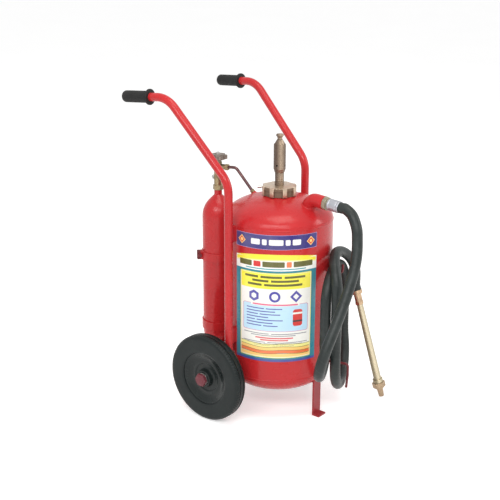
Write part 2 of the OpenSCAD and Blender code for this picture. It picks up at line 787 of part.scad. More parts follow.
// Outline of the gas cylinder, drawn in by a wall, up to a radius on the cone above its shoulder
function gas_cone_z(in, r) =
    gas_shoulder_z + gas_r - gas_shoulder - r + sqrt(2) * (gas_shoulder - in);
function gas_outline(in, r) = concat(
    [[0, gas_z + in]],
    [for (a = [-90:10:0]) [gas_r - gas_foot + (gas_foot - in) * cos(a),
        gas_z + gas_foot + (gas_foot - in) * sin(a)]],
    [for (a = [0:5:45]) [gas_r - gas_shoulder + (gas_shoulder - in) * cos(a),
        gas_shoulder_z + (gas_shoulder - in) * sin(a)]],
    [[r, gas_cone_z(in, r)], [0, gas_cone_z(in, r)]]
);
gas_neck_z = gas_cone_z(0, gas_neck_r);
gas_top = gas_neck_z + gas_neck_h;

module gas_cylinder() color("firebrick") at_tank() translate([0, gas_y, 0]) difference() {
    union() {
        rotate_extrude() polygon(gas_outline(0, gas_neck_r));
        translate([0, 0, gas_neck_z]) cylinder(h = gas_neck_h, r = gas_neck_r);
    }
    rotate_extrude() polygon(gas_outline(gas_wall, gas_mouth_r));
    translate([0, 0, gas_cone_z(gas_wall, gas_mouth_r) - 1]) cylinder(h = gas_top, r = gas_mouth_r);
}

valve_d = 27;
valve_h = 94;
valve_port_h = 79;
valve_top = gas_top + valve_h;
valve_port_z = gas_top + valve_port_h;
valve_hex_h = 16;
valve_hex_d = 35;
valve_bore_d = 6;
plug_d = 10;
plug_z = gas_top + 40;
plug_hex_d = 17;
plug_hex_h = 8;
valve_port_d = 18;
valve_port = 27;
valve_spigot = 24;
spindle_d = 8;
spindle_depth = 30;
gland_h = 9;
gland_d = 24;
wheel_z = valve_top + gland_h + end_gap;
// Along the valve's port, from the gas cylinder's axis
module at_port(out) {
    rotate([0, 0, pipe_turn]) translate([0, -out, valve_port_z]) rotate([90, 0, 0]) children();
}

module valve_body() color("darkgoldenrod") at_tank() translate([0, gas_y, 0]) difference() {
    union() {
        translate([0, 0, gas_top - valve_spigot]) cylinder(h = valve_spigot, d = valve_spigot_d);
        translate([0, 0, gas_top]) cylinder(h = valve_hex_h, d = valve_hex_d, $fn = 6);
        translate([0, 0, gas_top + valve_hex_h]) cylinder(h = valve_h - valve_hex_h, d = valve_d);
        at_port(0) cylinder(h = valve_port, d = valve_port_d);
    }
    translate([0, 0, gas_top - valve_spigot - 1])
        cylinder(h = valve_h + valve_spigot - spindle_depth, d = valve_bore_d);
    translate([0, 0, valve_top - spindle_depth]) cylinder(h = 2 * spindle_depth, d = spindle_d + 2 * run_gap);
    at_port(0) cylinder(h = valve_port + 1, d = valve_bore_d);
    translate([0, valve_d, plug_z]) rotate([90, 0, 0])
        cylinder(h = valve_d, d = plug_d + 2 * seat_gap);
}

module burst_disc_plug() color("silver") at_tank() translate([0, gas_y, plug_z]) rotate([-90, 0, 0]) {
    translate([0, 0, seat_gap]) cylinder(h = valve_d / 2, d = plug_d);
    translate([0, 0, valve_d / 2 + seat_gap]) cylinder(h = plug_hex_h, d = plug_hex_d, $fn = 6);
}

module gland_nut() color("goldenrod") at_tank() translate([0, gas_y, valve_top]) difference() {
    cylinder(h = gland_h, d = gland_d, $fn = 6);
    translate([0, 0, -1]) cylinder(h = gland_h + 2, d = spindle_d + 2 * run_gap);
}

spindle_low = valve_top - spindle_depth + end_gap;
spindle_stand = 8;
module valve_spindle() color("silver") at_tank() translate([0, gas_y, spindle_low])
    cylinder(h = wheel_z + handwheel_t + spindle_stand - spindle_low, d = spindle_d);

handwheel_lobes = 6;
lobe_d = 17;
lobe_step = 2;
wheel_nut_d = 15;
wheel_nut_h = 6;
module handwheel() color("dimgray") at_tank() translate([0, gas_y, wheel_z]) difference() {
    union() {
        cylinder(h = handwheel_t, d = handwheel_d - lobe_d);
        for (i = [0:handwheel_lobes - 1]) rotate([0, 0, 360 * i / handwheel_lobes])
            translate([(handwheel_d - lobe_d) / 2, 0, lobe_step])
                cylinder(h = handwheel_t - 2 * lobe_step, d = lobe_d);
    }
    translate([0, 0, -1]) cylinder(h = handwheel_t + 2, d = spindle_d + 2 * seat_gap);
}

module handwheel_nut() color("silver") at_tank() translate([0, gas_y, wheel_z + handwheel_t]) difference() {
    cylinder(h = wheel_nut_h, d = wheel_nut_d, $fn = 6);
    translate([0, 0, -1]) cylinder(h = wheel_nut_h + 2, d = spindle_d + 2 * seat_gap);
}

// The gas pipe lies in a plane through the gas cylinder's axis. It runs straight into its boss.
function pipe_at(reach, z) = [reach * sin(pipe_turn), gas_y - reach * cos(pipe_turn), z];
boss_d = 18;
boss_stand = 5;
boss_sink = 14;
inner_pipe_d = 12;
inner_pipe_wall = 1.5;
inner_pipe_neck = 20;
foot_nut = 9;
foot_nut_d = 17;
nut_len = 12;
nut_d = 22;
pipe_bend = 20;
gas_pipe_wall = 1;
pipe_gap = 3;
pipe_peak_reach = 66;
pipe_seat = 4;
pipe_slack = 0.8;
pipe_start = pipe_at(valve_port + pipe_gap, valve_port_z);
pipe_peak = pipe_at(pipe_peak_reach, valve_port_z + 2);
inlet_flat = pipe_at(inlet_reach, 0);
inlet_foot = inlet_flat + [0, 0, dish_top(norm(inlet_flat))];
inlet_dir = unit(inlet_foot - pipe_peak);
// Along the gas inlet, from a point above the dish
module at_inlet(above) {
    along(inlet_foot - inlet_dir * above, inlet_dir) children();
}

module gas_boss() color("firebrick") at_tank() at_inlet(boss_stand)
    ring(boss_d, gas_pipe_d + 2 * seat_gap, boss_stand + boss_sink);

// The tube that leads the gas down inside the tank
inner_start = inlet_foot + inlet_dir * boss_sink;
inner_corner = inner_start + inlet_dir * inner_pipe_neck;
inner_low = tank_floor(norm([inner_corner.x, inner_corner.y])) + siphon_clear;
inner_stop = [inner_corner.x, inner_corner.y, inner_low];
module gas_inlet_tube() color("silver") at_tank() {
    inner_r = inner_pipe_d / 2;
    bent([inner_start, inner_corner, inner_stop], pipe_bend, inner_r, inner_r - inner_pipe_wall);
}

module gas_pipe() color("#6b3a2a") at_tank() {
    pipe_r = gas_pipe_d / 2;
    pipe_stop = inlet_foot - inlet_dir * (boss_stand - pipe_seat);
    bent([pipe_start, pipe_peak, pipe_stop], pipe_bend, pipe_r, pipe_r - gas_pipe_wall);
}

module pipe_nuts() color("goldenrod") at_tank() {
    at_inlet(boss_stand + foot_nut) difference() {
        cylinder(h = foot_nut, d = foot_nut_d, $fn = 6);
        translate([0, 0, -1]) cylinder(h = foot_nut + 2, d = gas_pipe_d + 2 * seat_gap);
    }
    translate([0, gas_y, 0]) at_port(valve_port) difference() {
        cylinder(h = nut_len, d = nut_d, $fn = 6);
        translate([0, 0, -1]) cylinder(h = nut_len + 2, d = gas_pipe_d + 2 * pipe_slack);
    }
}

// ---- clamps ----

band_r = gas_r + seat_gap;
band_out = band_r + clamp_t;
ear_len = 20;
ear_gap = 8;
ear_root = 2;
clamp_bolt_d = 8;
clamp_hex_d = 15;
clamp_head_h = 5.5;
clamp_nut_h = 6.5;
clamp_tail = 10;
bolt_y = gas_r + ear_len * 0.6;
clamp_turn = 48;
// The upper clamp's bolt lies back on the left, the lower one's on the right
module each_clamp() {
    translate([0, gas_y, clamp_high_z - clamp_w / 2]) rotate([0, 0, clamp_turn]) children();
    translate([0, gas_y, clamp_low_z - clamp_w / 2]) rotate([0, 0, -clamp_turn]) children();
}

module clamp_bands() color("firebrick") at_tank() each_clamp() difference() {
    union() {
        cylinder(h = clamp_w, r = band_out);
        for (s = [-1, 1]) translate([s * (ear_gap + clamp_t) / 2 - clamp_t / 2, gas_r - ear_root, 0])
            cube([clamp_t, ear_len + ear_root, clamp_w]);
    }
    translate([0, 0, -1]) cylinder(h = clamp_w + 2, r = band_r);
    translate([-ear_gap / 2, 0, -1]) cube([ear_gap, 2 * gas_r, clamp_w + 2]);
    translate([-20, bolt_y, clamp_w / 2]) rotate([0, 90, 0])
        cylinder(h = 40, d = clamp_bolt_d + 2 * seat_gap, $fn = bar_fn);
}

module clamp_bolts() color("silver") at_tank() each_clamp()
    translate([0, bolt_y, clamp_w / 2]) rotate([0, 90, 0]) {
        ear_out = ear_gap / 2 + clamp_t;
        translate([0, 0, -ear_out - clamp_head_h]) cylinder(h = clamp_head_h, d = clamp_hex_d, $fn = 6);
        translate([0, 0, -ear_out - 1]) cylinder(h = 2 * ear_out + clamp_tail, d = clamp_bolt_d);
        translate([0, 0, ear_out]) cylinder(h = clamp_nut_h, d = clamp_hex_d, $fn = 6);
    }

saddle_w = 36;
module clamp_saddles() color("firebrick") at_tank() difference() {
    for (z = [clamp_low_z, clamp_high_z]) translate([-saddle_w / 2, tank_r - 12, z - clamp_w / 2])
        cube([saddle_w, gas_y - tank_r, clamp_w]);
    cylinder(h = crown_z, r = tank_r + seat_gap);
    translate([0, gas_y, 0]) cylinder(h = crown_z, r = band_out + seat_gap);
}

rest_w = 60;
rest_t = 6;
rest_low = gas_z - rest_t - seat_gap;
rest_out = gas_y + gas_r / 2;
gusset_h = 46;
gusset_out = tank_r + 22;
module cylinder_rest() color("firebrick") at_tank() difference() {
    union() {
        translate([-rest_w / 2, 0, rest_low]) cube([rest_w, rest_out, rest_t]);
        translate([-rest_t / 2, 0, rest_low]) cube([rest_t, gusset_out, gusset_h]);
    }
    cylinder(h = crown_z, r = tank_r + seat_gap);
}

// ---- handles ----

handle_r = handle_d / 2;
handle_top = [handle_x + handle_spread, bend_top_y, bend_top_z];
handle_points = [
    [handle_x, handle_y, handle_low_z], [handle_x, handle_y, bend_low_z], handle_top,
    handle_top + grip_dir * handle_end
];
module handle() at_tank() bent(handle_points, handle_bend, handle_r, handle_r - handle_wall);
module right_handle() color("firebrick") handle();
module left_handle() color("firebrick") mirror([1, 0, 0]) handle();

grip_flange_t = 7;
grip_outline = concat(
    [[0, 0], [grip_d / 2, 0]],
    [for (a = [0:10:90]) [grip_d / 2 - grip_round * (1 - cos(a)), grip_len - grip_round * (1 - sin(a))]],
    [[0, grip_len]]
);
module grip() at_tank() along(handle_points[3] + grip_dir * (grip_cap + seat_gap - grip_len), grip_dir)
    difference() {
        union() {
            rotate_extrude() polygon(grip_outline);
            cylinder(h = grip_flange_t, d = grip_flange_d);
        }
        translate([0, 0, -1]) cylinder(h = grip_len - grip_cap + 1, d = handle_d + 2 * seat_gap);
    }
module right_grip() color("#222222") grip();
module left_grip() color("#222222") mirror([1, 0, 0]) grip();

stay_h = 50;
stay_w = 14;
stay_rise = 110;
stay_low_z = shell_z + stay_rise;
stay_high_z = shell_top - stay_h;
stay_root = tank_r - 12.25;
module handle_stays() color("firebrick") at_tank() both_sides() difference() {
    for (z = [stay_low_z, stay_high_z]) translate([stay_root, handle_y - stay_w / 2, z])
        cube([handle_x - stay_root, stay_w, stay_h]);
    cylinder(h = crown_z, r = tank_r + seat_gap);
    translate([handle_x, handle_y, 0]) cylinder(h = crown_z, r = handle_r + seat_gap);
}

// ---- running gear ----

wheel_r = wheel_d / 2;
axle_r = axle_d / 2;
hub_in = wheel_x - hub_w / 2;
hub_out = wheel_x + hub_w / 2;
washer_t = 3;
sleeve_out = hub_in - end_gap - washer_t - seat_gap / 2;
sleeve_len = 30;
sleeve_in = sleeve_out - sleeve_len;
sleeve_r = axle_r + 8;
plate_t = 8;
plate_h = 114;
plate_y = handle_y + handle_r + seat_gap;
plate_end = axle_y + 26.2;
web_rise = 42;
web_y = handle_y + handle_r + 5;
web_end = axle_y + 25;
web_low_z = handle_low_z + web_rise;
web_h = 58;
web_high_z = web_low_z + web_h;
module at_axle() {
    translate([0, tank_y + axle_y, wheel_r]) rotate([0, 90, 0]) children();
}

module axle_brackets() color("firebrick") both_sides() difference() {
    union() {
        at_tank() {
            translate([handle_x - plate_t / 2, plate_y, handle_low_z])
                cube([plate_t, plate_end - plate_y, plate_h]);
            for (z = [web_low_z, web_high_z]) translate([0, web_y, z])
                cube([handle_x, web_end - web_y, rest_t]);
        }
        at_axle() translate([0, 0, sleeve_in]) cylinder(h = sleeve_out - sleeve_in, r = sleeve_r);
    }
    at_tank() cylinder(h = crown_z, r = tank_r + seat_gap);
    at_axle() cylinder(h = wheel_x, r = axle_r + seat_gap);
}

nut_cover = 4;
nut_dome_h = 3;
nut_dome_d = 27.28;
washer_rim = 8;
axle_end = hub_out + end_gap + washer_t + hub_nut_t - nut_cover;
module stub_axles() color("silver") both_sides() at_axle() translate([0, 0, sleeve_in])
    cylinder(h = axle_end - sleeve_in, r = axle_r);

module axle_washers() color("silver") both_sides() at_axle() {
    for (x = [hub_in - end_gap - washer_t, hub_out + end_gap])
        translate([0, 0, x]) ring(axle_d + 2 * washer_rim, axle_d + 2 * seat_gap, washer_t);
}

module hub_nuts() color("firebrick") both_sides() at_axle()
    translate([0, 0, hub_out + end_gap + washer_t + seat_gap / 2]) difference() {
        union() {
            cylinder(h = hub_nut_t, d = hub_nut_d, $fn = 6);
            cylinder(h = hub_nut_t + nut_dome_h, d = nut_dome_d);
        }
        translate([0, 0, -1]) cylinder(h = hub_nut_t - nut_cover + 2, r = axle_r + seat_gap);
    }

rim_r = rim_d / 2;
tyre_round = 13;
groove_w = 3;
groove_depth = 2;
groove_x = 7;
module tyre_profile() {
    difference() {
        union() {
            translate([rim_r, -tyre_w / 2]) square([wheel_r - rim_r - tyre_round, tyre_w]);
            translate([rim_r, tyre_round - tyre_w / 2]) square([wheel_r - rim_r, tyre_w - 2 * tyre_round]);
            for (s = [-1, 1]) translate([wheel_r - tyre_round, s * (tyre_w / 2 - tyre_round)])
                circle(r = tyre_round);
        }
        for (s = [-1, 1]) translate([wheel_r - groove_depth, s * groove_x - groove_w / 2])
            square([groove_depth + 1, groove_w]);
    }
}
module tyre() at_axle() translate([0, 0, wheel_x]) rotate_extrude($fn = 180) tyre_profile();
module right_tyre() color("#222222") tyre();
module left_tyre() color("#222222") mirror([1, 0, 0]) tyre();

rim_lip = 10;
rim_inset = 4;
web_t = 9;
hub_wall = 11;
hub_r = axle_r + bush_wall + hub_wall;
module rim() at_axle() translate([0, 0, wheel_x]) difference() {
    union() {
        translate([0, 0, rim_inset - tyre_w / 2])
            cylinder(h = tyre_w - 2 * rim_inset, r = rim_r - seat_gap);
        translate([0, 0, -hub_w / 2]) cylinder(h = hub_w, r = hub_r);
    }
    for (s = [-1, 1]) translate([0, 0, s * (web_t / 2 + tyre_w / 2) - tyre_w / 2]) difference() {
        cylinder(h = tyre_w, r = rim_r - rim_lip);
        translate([0, 0, -1]) cylinder(h = tyre_w + 2, r = hub_r);
    }
    translate([0, 0, -hub_w]) cylinder(h = 2 * hub_w, r = axle_r + bush_wall + seat_gap);
}
module right_rim() color("#2b2b2b") rim();
module left_rim() color("#2b2b2b") mirror([1, 0, 0]) rim();

module bush() at_axle() translate([0, 0, hub_in])
    ring(axle_d + 2 * bush_wall, axle_d + 2 * run_gap, hub_w);
module right_bush() color("goldenrod") bush();
module left_bush() color("goldenrod") mirror([1, 0, 0]) bush();

// ---- front leg and hose hooks ----

module front_leg() color("firebrick") at_tank() difference() {
    union() {
        translate([-leg_w / 2, -leg_y, 0]) cube([leg_w, leg_t, leg_top]);
        translate([-leg_w / 2, -leg_y + leg_t - toe_len, 0]) cube([leg_w, toe_len, leg_t]);
    }
    tank_outside();
}

hook_bend = 12;
hook_root = 6;
top_prong = 28;
low_prong = 84;
low_straight = 40;
// A hook bar from the tank, in the hank's middle plane
module hook(points) {
    difference() {
        bent([for (q = points) beside(q.x, 0, q.y)], hook_bend, hook_r);
        tank_outside();
    }
}

// The upper hook carries the folds, and the lower one, inside the loop, holds them against the tank
top_arm_z = hank_z + hank_run - fold_drop + fold_r - hook_seat;
low_arm_rise = 24;
low_arm_z = shell_z + low_arm_rise;
module hose_hooks() color("firebrick") at_tank() {
    hook([[tank_r - hook_root, top_arm_z], [top_hook_reach, top_arm_z],
        [top_hook_reach, top_arm_z + top_prong]]);
    hook([[tank_r - hook_root, low_arm_z], [low_hook_reach, low_arm_z],
        [low_hook_reach, low_arm_z - low_straight], [low_hook_reach - hook_lean, low_arm_z - low_prong]]);
}

tank_shell();
top_dish();
bottom_dish();
neck_ring();
name_strip();
instruction_label();
cap();
cap_gasket();
cap_locking_screw();
relief_body();
relief_barrel();
relief_bonnet();
relief_spring();
relief_stem();
relief_seal();
relief_knob();
siphon_tube();
outlet_elbow();
outlet_adaptor();
hose_ferrule();
hose_lead();
hose_hank();
hose_tail();
nozzle_coupling();
nozzle_tube();
nozzle_collar();
nozzle_tip();
gas_boss();
gas_inlet_tube();
gas_pipe();
pipe_nuts();
gas_cylinder();
valve_body();
gland_nut();
burst_disc_plug();
valve_spindle();
handwheel();
handwheel_nut();
clamp_bands();
clamp_saddles();
clamp_bolts();
cylinder_rest();
left_handle();
right_handle();
left_grip();
right_grip();
handle_stays();
axle_brackets();
stub_axles();
axle_washers();
hub_nuts();
left_tyre();
right_tyre();
left_rim();
right_rim();
left_bush();
right_bush();
front_leg();
hose_hooks();
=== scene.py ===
"""Looks of the wheeled dry powder extinguisher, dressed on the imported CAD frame.

Lengths of the shapes are millimetres from the tank's axis and the floor, as in the part's source.
Materials, lights and the finished meshes are in metres. Each shape is worked out as whole arrays.
"""
import math

import bpy
import numpy as np
from mathutils import Matrix, Vector


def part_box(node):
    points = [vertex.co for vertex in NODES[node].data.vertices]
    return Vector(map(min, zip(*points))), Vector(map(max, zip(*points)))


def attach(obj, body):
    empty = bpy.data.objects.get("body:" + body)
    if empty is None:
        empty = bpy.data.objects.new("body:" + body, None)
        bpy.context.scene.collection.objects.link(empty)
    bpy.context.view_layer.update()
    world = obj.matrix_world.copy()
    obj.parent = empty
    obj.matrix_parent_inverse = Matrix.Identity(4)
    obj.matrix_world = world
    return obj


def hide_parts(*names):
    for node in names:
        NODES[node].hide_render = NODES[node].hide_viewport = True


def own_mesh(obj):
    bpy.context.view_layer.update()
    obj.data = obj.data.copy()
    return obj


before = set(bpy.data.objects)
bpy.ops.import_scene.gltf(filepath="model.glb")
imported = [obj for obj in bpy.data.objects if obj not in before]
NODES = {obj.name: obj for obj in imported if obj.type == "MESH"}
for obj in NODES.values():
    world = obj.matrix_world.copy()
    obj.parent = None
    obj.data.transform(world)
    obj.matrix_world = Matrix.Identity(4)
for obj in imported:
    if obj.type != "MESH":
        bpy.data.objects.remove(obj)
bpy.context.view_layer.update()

MM = 0.001
TAU = 2 * math.pi
shell_low, shell_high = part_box("tank_shell")
TANK_Y = (shell_low.y + shell_high.y) / 2

# ---- sizes that the part's source gives ----

# Tank: radius, the two ends of its shell, and the depth of its dishes
TANK_R, SHELL_Z, SHELL_TOP, DISH = 175.0, 150.0, 650.0, 75.0
# Cap: its lugs, their width and the angle of the first, and the top of its skirt
CAP_LUGS, LUG_W, CAP_PHASE, SKIRT_TOP = 8, 16.0, math.radians(11), 743.0
# Outlet: the end of its elbow, the foot of its riser, and the way that it points
OUTLET_STOP = np.array((0, -176.426, 724.996))
OUTLET_DIR = np.array((0, -math.cos(math.radians(5)), -math.sin(math.radians(5))))
OUTLET_Y = -116.0
# Nozzle: the top of its coupling and its axis
NOZZLE_TOP = np.array((167.791, -196.53, 398))
NOZZLE_DIR = np.array((0.14717, -0.202562, -0.968148))
# Gas inlet: a point on its boss's axis, and that axis
INLET_FOOT, INLET_DIR = (33.05, 129.2, 698.6), (0.158, -0.611, -0.775)
# Side cylinder's axis and its clamps' feet
CYLINDER_Y, CLAMP_FEET = 257.0, (208.0, 457.0)
# Handle tubes: across and along, radius, and the feet of their stays
HANDLE_X, HANDLE_Y, HANDLE_R, STAY_FEET = 201.0, 44.0, 13.45, (260.0, 600.0)
# Grips: a point on the tube's upper straight, and how far from it the tube ends
GRIP_BEND, GRIP_REACH, GRIP_DROOP = (220.0, 275.0, 1033.0), 170.0, math.radians(4)
# Axle: along and up, its brackets' webs and its sleeve's radius
AXLE_Y, AXLE_Z, WEB_FEET, WEB_Y, SLEEVE_R = 99.0, 144.0, (160.0, 218.0), 62.45, 20.9
# Leg: its faces and half its width
LEG_FRONT, LEG_BACK, LEG_HALF = 166.0, 160.0, 19.0
# Hose hooks' heights, and half the thickness that their welds go round
HOOK_HEIGHTS, HOOK_R = (174.0, 486.0), 4.6
# Hose: radius, and its hank's fold, run, foot and turn about the tank
HOSE_R, FOLD_R, HANK_RUN, HANK_Z, HANK_TURN = 17.0, 102.0, 240.0, 210.0, math.radians(17)


def placed(points):
    """Tank millimetres in the row frame: points / 1000, moved by the tank's place along y."""
    return np.asarray(points, float) * MM + (0, TANK_Y, 0)


# ---- camera ----

def aim_camera():
    """A camera at the near left front. Its focal length is in points of a view 500 wide."""
    focal, wide = 1031.98, 500
    eye = Vector((-2.5568767, TANK_Y - 1.9290479, 1.5554388))
    right = Vector((0.62595055, -0.77985727, 0.00292278))
    up = Vector((0.23488582, 0.19210166, 0.9528513))
    data = bpy.data.cameras.new("camera")
    data.sensor_width = 36
    data.lens = focal / wide * data.sensor_width
    data.clip_end = 200
    cam = bpy.data.objects.new("camera", data)
    turn = Matrix((right, up, right.cross(up))).transposed().to_4x4()
    cam.matrix_world = Matrix.Translation(eye) @ turn
    bpy.context.scene.collection.objects.link(cam)
    bpy.context.scene.camera = cam


aim_camera()

# ---- shader nodes ----

def add(tree, kind, inputs=None, **settings):
    """A shader node with its settings, and its inputs by name or number."""
    made = tree.nodes.new("ShaderNode" + kind)
    for key, value in settings.items():
        setattr(made, key, value)
    for key, value in (inputs or {}).items():
        feed(tree, made.inputs[key], value)
    return made


def feed(tree, socket, value):
    """Links a socket's value, or sets a plain one. A colour gets its fourth number."""
    if isinstance(value, bpy.types.NodeSocket):
        tree.links.new(value, socket)
    else:
        socket.default_value = (*value, 1) if socket.type == "RGBA" and len(value) == 3 else value


def object_place(tree):
    """Object coordinates in metres."""
    return add(tree, "TexCoord").outputs["Object"]


def coords(tree, stretch=(1, 1, 1)):
    """Object coordinates, stretched."""
    return add(tree, "Mapping", {"Vector": object_place(tree), "Scale": stretch}).outputs[0]


def noise(tree, scale, detail=3, vector=None, rough=0.5):
    """Noise from 0 to 1."""
    return add(tree, "TexNoise", {"Vector": vector or coords(tree), "Scale": scale,
                                  "Detail": detail, "Roughness": rough}).outputs[0]


def remap(tree, value, low, high, a, b):
    """Maps low..high to a..b, clamped."""
    return add(tree, "MapRange", {0: value, 1: low, 2: high, 3: a, 4: b}).outputs[0]


def mix(tree, factor, one, two):
    """Mixes two colours by a factor."""
    return add(tree, "Mix", {0: factor, 6: one, 7: two}, data_type="RGBA").outputs[2]


def math_node(tree, kind, a, b=0.0):
    """One sum of two values."""
    return add(tree, "Math", {0: a, 1: b}, operation=kind).outputs[0]


def vector_node(tree, kind, a, b=(0, 0, 0), give=0):
    """One sum of two vectors. give is 0 for its vector and 1 for its value."""
    return add(tree, "VectorMath", {0: a, 1: b}, operation=kind).outputs[give]


def scaled(tree, colour, factor):
    """A colour times a number."""
    return add(tree, "VectorMath", {0: colour, "Scale": factor}, operation="SCALE").outputs[0]


def bump(tree, height, distance, normal=None):
    """A bump of a height in metres."""
    inputs = {"Height": height, "Distance": distance, "Strength": 1.0}
    if normal:
        inputs["Normal"] = normal
    return add(tree, "Bump", inputs).outputs[0]


def soft_edges(tree, radius=0.0006):
    """Normals that round a solid's sharp edges by a small radius."""
    return add(tree, "Bevel", {"Radius": radius}, samples=4).outputs[0]


def start(name):
    """A new material with its node tree and main shader."""
    mat = bpy.data.materials.new(name)
    mat.use_nodes = True
    return mat, mat.node_tree, mat.node_tree.nodes["Principled BSDF"]


def dress(tree, shader, **sockets):
    """Links or sets the main shader's sockets, with _ for a space."""
    for key, value in sockets.items():
        feed(tree, shader.inputs[key.replace("_", " ")], value)


# ---- finishes as node groups ----

def make_group(name, inputs, build):
    """A node group that takes inputs, as name: (kind, value), and gives Color, Roughness and
    Normal. build(tree, sockets by name) returns those three."""
    tree = bpy.data.node_groups.new(name, "ShaderNodeTree")
    for title, (kind, value) in inputs.items():
        made = tree.interface.new_socket(title, in_out="INPUT", socket_type="NodeSocket" + kind)
        made.default_value = value
    for title, kind in (("Color", "Color"), ("Roughness", "Float"), ("Normal", "Vector")):
        tree.interface.new_socket(title, in_out="OUTPUT", socket_type="NodeSocket" + kind)
    given = {socket.name: socket for socket in tree.nodes.new("NodeGroupInput").outputs}
    gives = tree.nodes.new("NodeGroupOutput")
    for socket, value in zip(gives.inputs, build(tree, given)):
        tree.links.new(value, socket)
    return tree


def use_group(tree, group, values):
    """Places a node group with its own values, and returns its Color, Roughness and Normal."""
    made = add(tree, "Group", node_tree=group)
    for key, value in values.items():
        feed(tree, made.inputs[key], value)
    return made.outputs["Color"], made.outputs["Roughness"], made.outputs["Normal"]


WHITE_INPUT, ZERO_INPUT = ("Color", (1, 1, 1, 1)), ("Float", 0.0)


def build_enamel(tree, given):
    """Slight patches of tone, a few scuffs, dull specks, a wave in the gloss, and orange peel."""
    patch = remap(tree, noise(tree, 5, 4), 0.3, 0.7, 0, 1)
    tone = mix(tree, patch, given["Base"], given["Dull"])
    scuff = remap(tree, noise(tree, 60, 6, coords(tree, (1, 1, 0.35)), 0.7), 0.66, 0.74, 0, 0.35)
    tone = mix(tree, scuff, tone, scaled(tree, given["Dull"], 0.55))
    speck = remap(tree, noise(tree, 420, 2), 0.74, 0.8, 0, 0.5)
    tone = mix(tree, speck, tone, (0.25, 0.2, 0.18))
    rough = remap(tree, noise(tree, 22, 5), 0.3, 0.75, given["Gloss Low"], given["Gloss High"])
    rough = math_node(tree, "ADD", rough, math_node(tree, "MULTIPLY", scuff, 0.5))
    peel = bump(tree, noise(tree, 190, 2), 0.00012, soft_edges(tree, 0.001))
    return tone, rough, bump(tree, noise(tree, 28, 2), 0.0003, peel)


def build_metal(tree, given):
    """Patches of tarnish, upright streaks, painted shade where the shade mask says, and turning
    marks.
    """
    base, dark = given["Base"], given["Dark"]

    def times(factor):
        return math_node(tree, "MULTIPLY", given["Scale"], factor)

    patch = remap(tree, noise(tree, given["Scale"], 6, rough=0.62), 0.38, 0.68, 0, given["Stain"])
    tone = mix(tree, patch, base, dark)
    streak = noise(tree, 1, 1, coords(tree, (58, 58, 4)))
    tone = mix(tree, remap(tree, streak, 0.44, 0.6, 0, given["Streak"]), tone, dark)
    # Painted shade: the dark tone laid where the shade mask says
    tone = mix(tree, given["Soot"], tone, dark)
    marks = noise(tree, 1, 3, coords(tree, given["Grain"]))
    tone = mix(tree, remap(tree, marks, 0.3, 0.7, 0, 0.18), tone, scaled(tree, base, 0.6))
    mottle = noise(tree, times(2.2), 5)
    rough = remap(tree, mottle, 0.3, 0.72, given["Rough Low"], given["Rough High"])
    turned = bump(tree, marks, 0.00005, soft_edges(tree))
    return tone, rough, bump(tree, noise(tree, times(6), 3), 0.00006, turned)


def build_rubber(tree, given):
    """Dusty bloom, small scuffs and a fine skin."""
    bloom = remap(tree, noise(tree, 14, 6, rough=0.6), 0.4, 0.75, 0, given["Bloom"])
    tone = mix(tree, bloom, given["Base"], given["Worn"])
    scuff = remap(tree, noise(tree, 160, 4, coords(tree, (1, 1, 0.3))), 0.66, 0.76, 0, 0.5)
    tone = mix(tree, scuff, tone, given["Worn"])
    rough = remap(tree, noise(tree, 90, 4), 0.3, 0.7, given["Rough Low"], given["Rough High"])
    return tone, rough, bump(tree, noise(tree, 810, 3), 0.00012)


ENAMEL_GROUP = make_group("sprayed_enamel", {
    "Base": WHITE_INPUT, "Dull": WHITE_INPUT, "Gloss Low": ZERO_INPUT, "Gloss High": ZERO_INPUT,
}, build_enamel)
METAL_GROUP = make_group("tarnished_metal", {
    "Base": WHITE_INPUT, "Dark": WHITE_INPUT, "Rough Low": ZERO_INPUT, "Rough High": ZERO_INPUT,
    "Scale": ZERO_INPUT, "Stain": ZERO_INPUT, "Streak": ZERO_INPUT, "Soot": ZERO_INPUT,
    "Grain": ("Vector", (0, 0, 0)),
}, build_metal)
RUBBER_GROUP = make_group("moulded_rubber", {
    "Base": WHITE_INPUT, "Worn": WHITE_INPUT, "Bloom": ZERO_INPUT, "Rough Low": ZERO_INPUT,
    "Rough High": ZERO_INPUT,
}, build_rubber)

# ---- where a finish is darker: masks of painted shade ----

def from_axis(tree, y):
    """The distance in metres from an upright axis at x = 0."""
    off = vector_node(tree, "SUBTRACT", object_place(tree), (0, y, 0))
    return vector_node(tree, "LENGTH", vector_node(tree, "MULTIPLY", off, (1, 1, 0)), give=1)


def across(tree, origin, direction):
    """How far in metres a point lies from an origin along a direction."""
    off = vector_node(tree, "SUBTRACT", object_place(tree), origin)
    return vector_node(tree, "DOT_PRODUCT", off, direction, give=1)


def recess_shade(tree):
    """Painted shade: 0.92 in the cap's recesses between its lugs, 0 on the lugs and the top."""
    height = add(tree, "SeparateXYZ", {0: object_place(tree)}).outputs[2]
    inward = remap(tree, from_axis(tree, TANK_Y), 0.0538, 0.0553, 0.92, 0)
    return math_node(tree, "MULTIPLY", inward, remap(tree, height, 0.7524, 0.7536, 1, 0))


def painted_flank_shade(tree):
    """Painted shade and dark reflection: 0.95 down one flank of the relief column and 0.75 along
    its other edge, with wavy borders.
    """
    out = across(tree, (0, TANK_Y, 0), (0.626, -0.78, 0))
    wander = math_node(tree, "MULTIPLY", noise(tree, 1, 2, coords(tree, (60, 60, 22))), 0.004)
    out = math_node(tree, "ADD", out, math_node(tree, "SUBTRACT", wander, 0.002))
    return math_node(tree, "MAXIMUM", remap(tree, out, -0.011, 0.002, 0.95, 0.1),
                     remap(tree, out, 0.0085, 0.0145, 0, 0.75))


def painted_nozzle_shade(tree):
    """Painted shade and dark reflection: 0.8 down one flank of the nozzle and 0.45 along its other
    edge.
    """
    out = across(tree, placed(NOZZLE_TOP), (0.72, -0.654, 0.246))
    return math_node(tree, "MAXIMUM", remap(tree, out, -0.0072, -0.0015, 0.8, 0),
                     remap(tree, out, 0.0045, 0.0078, 0, 0.45))


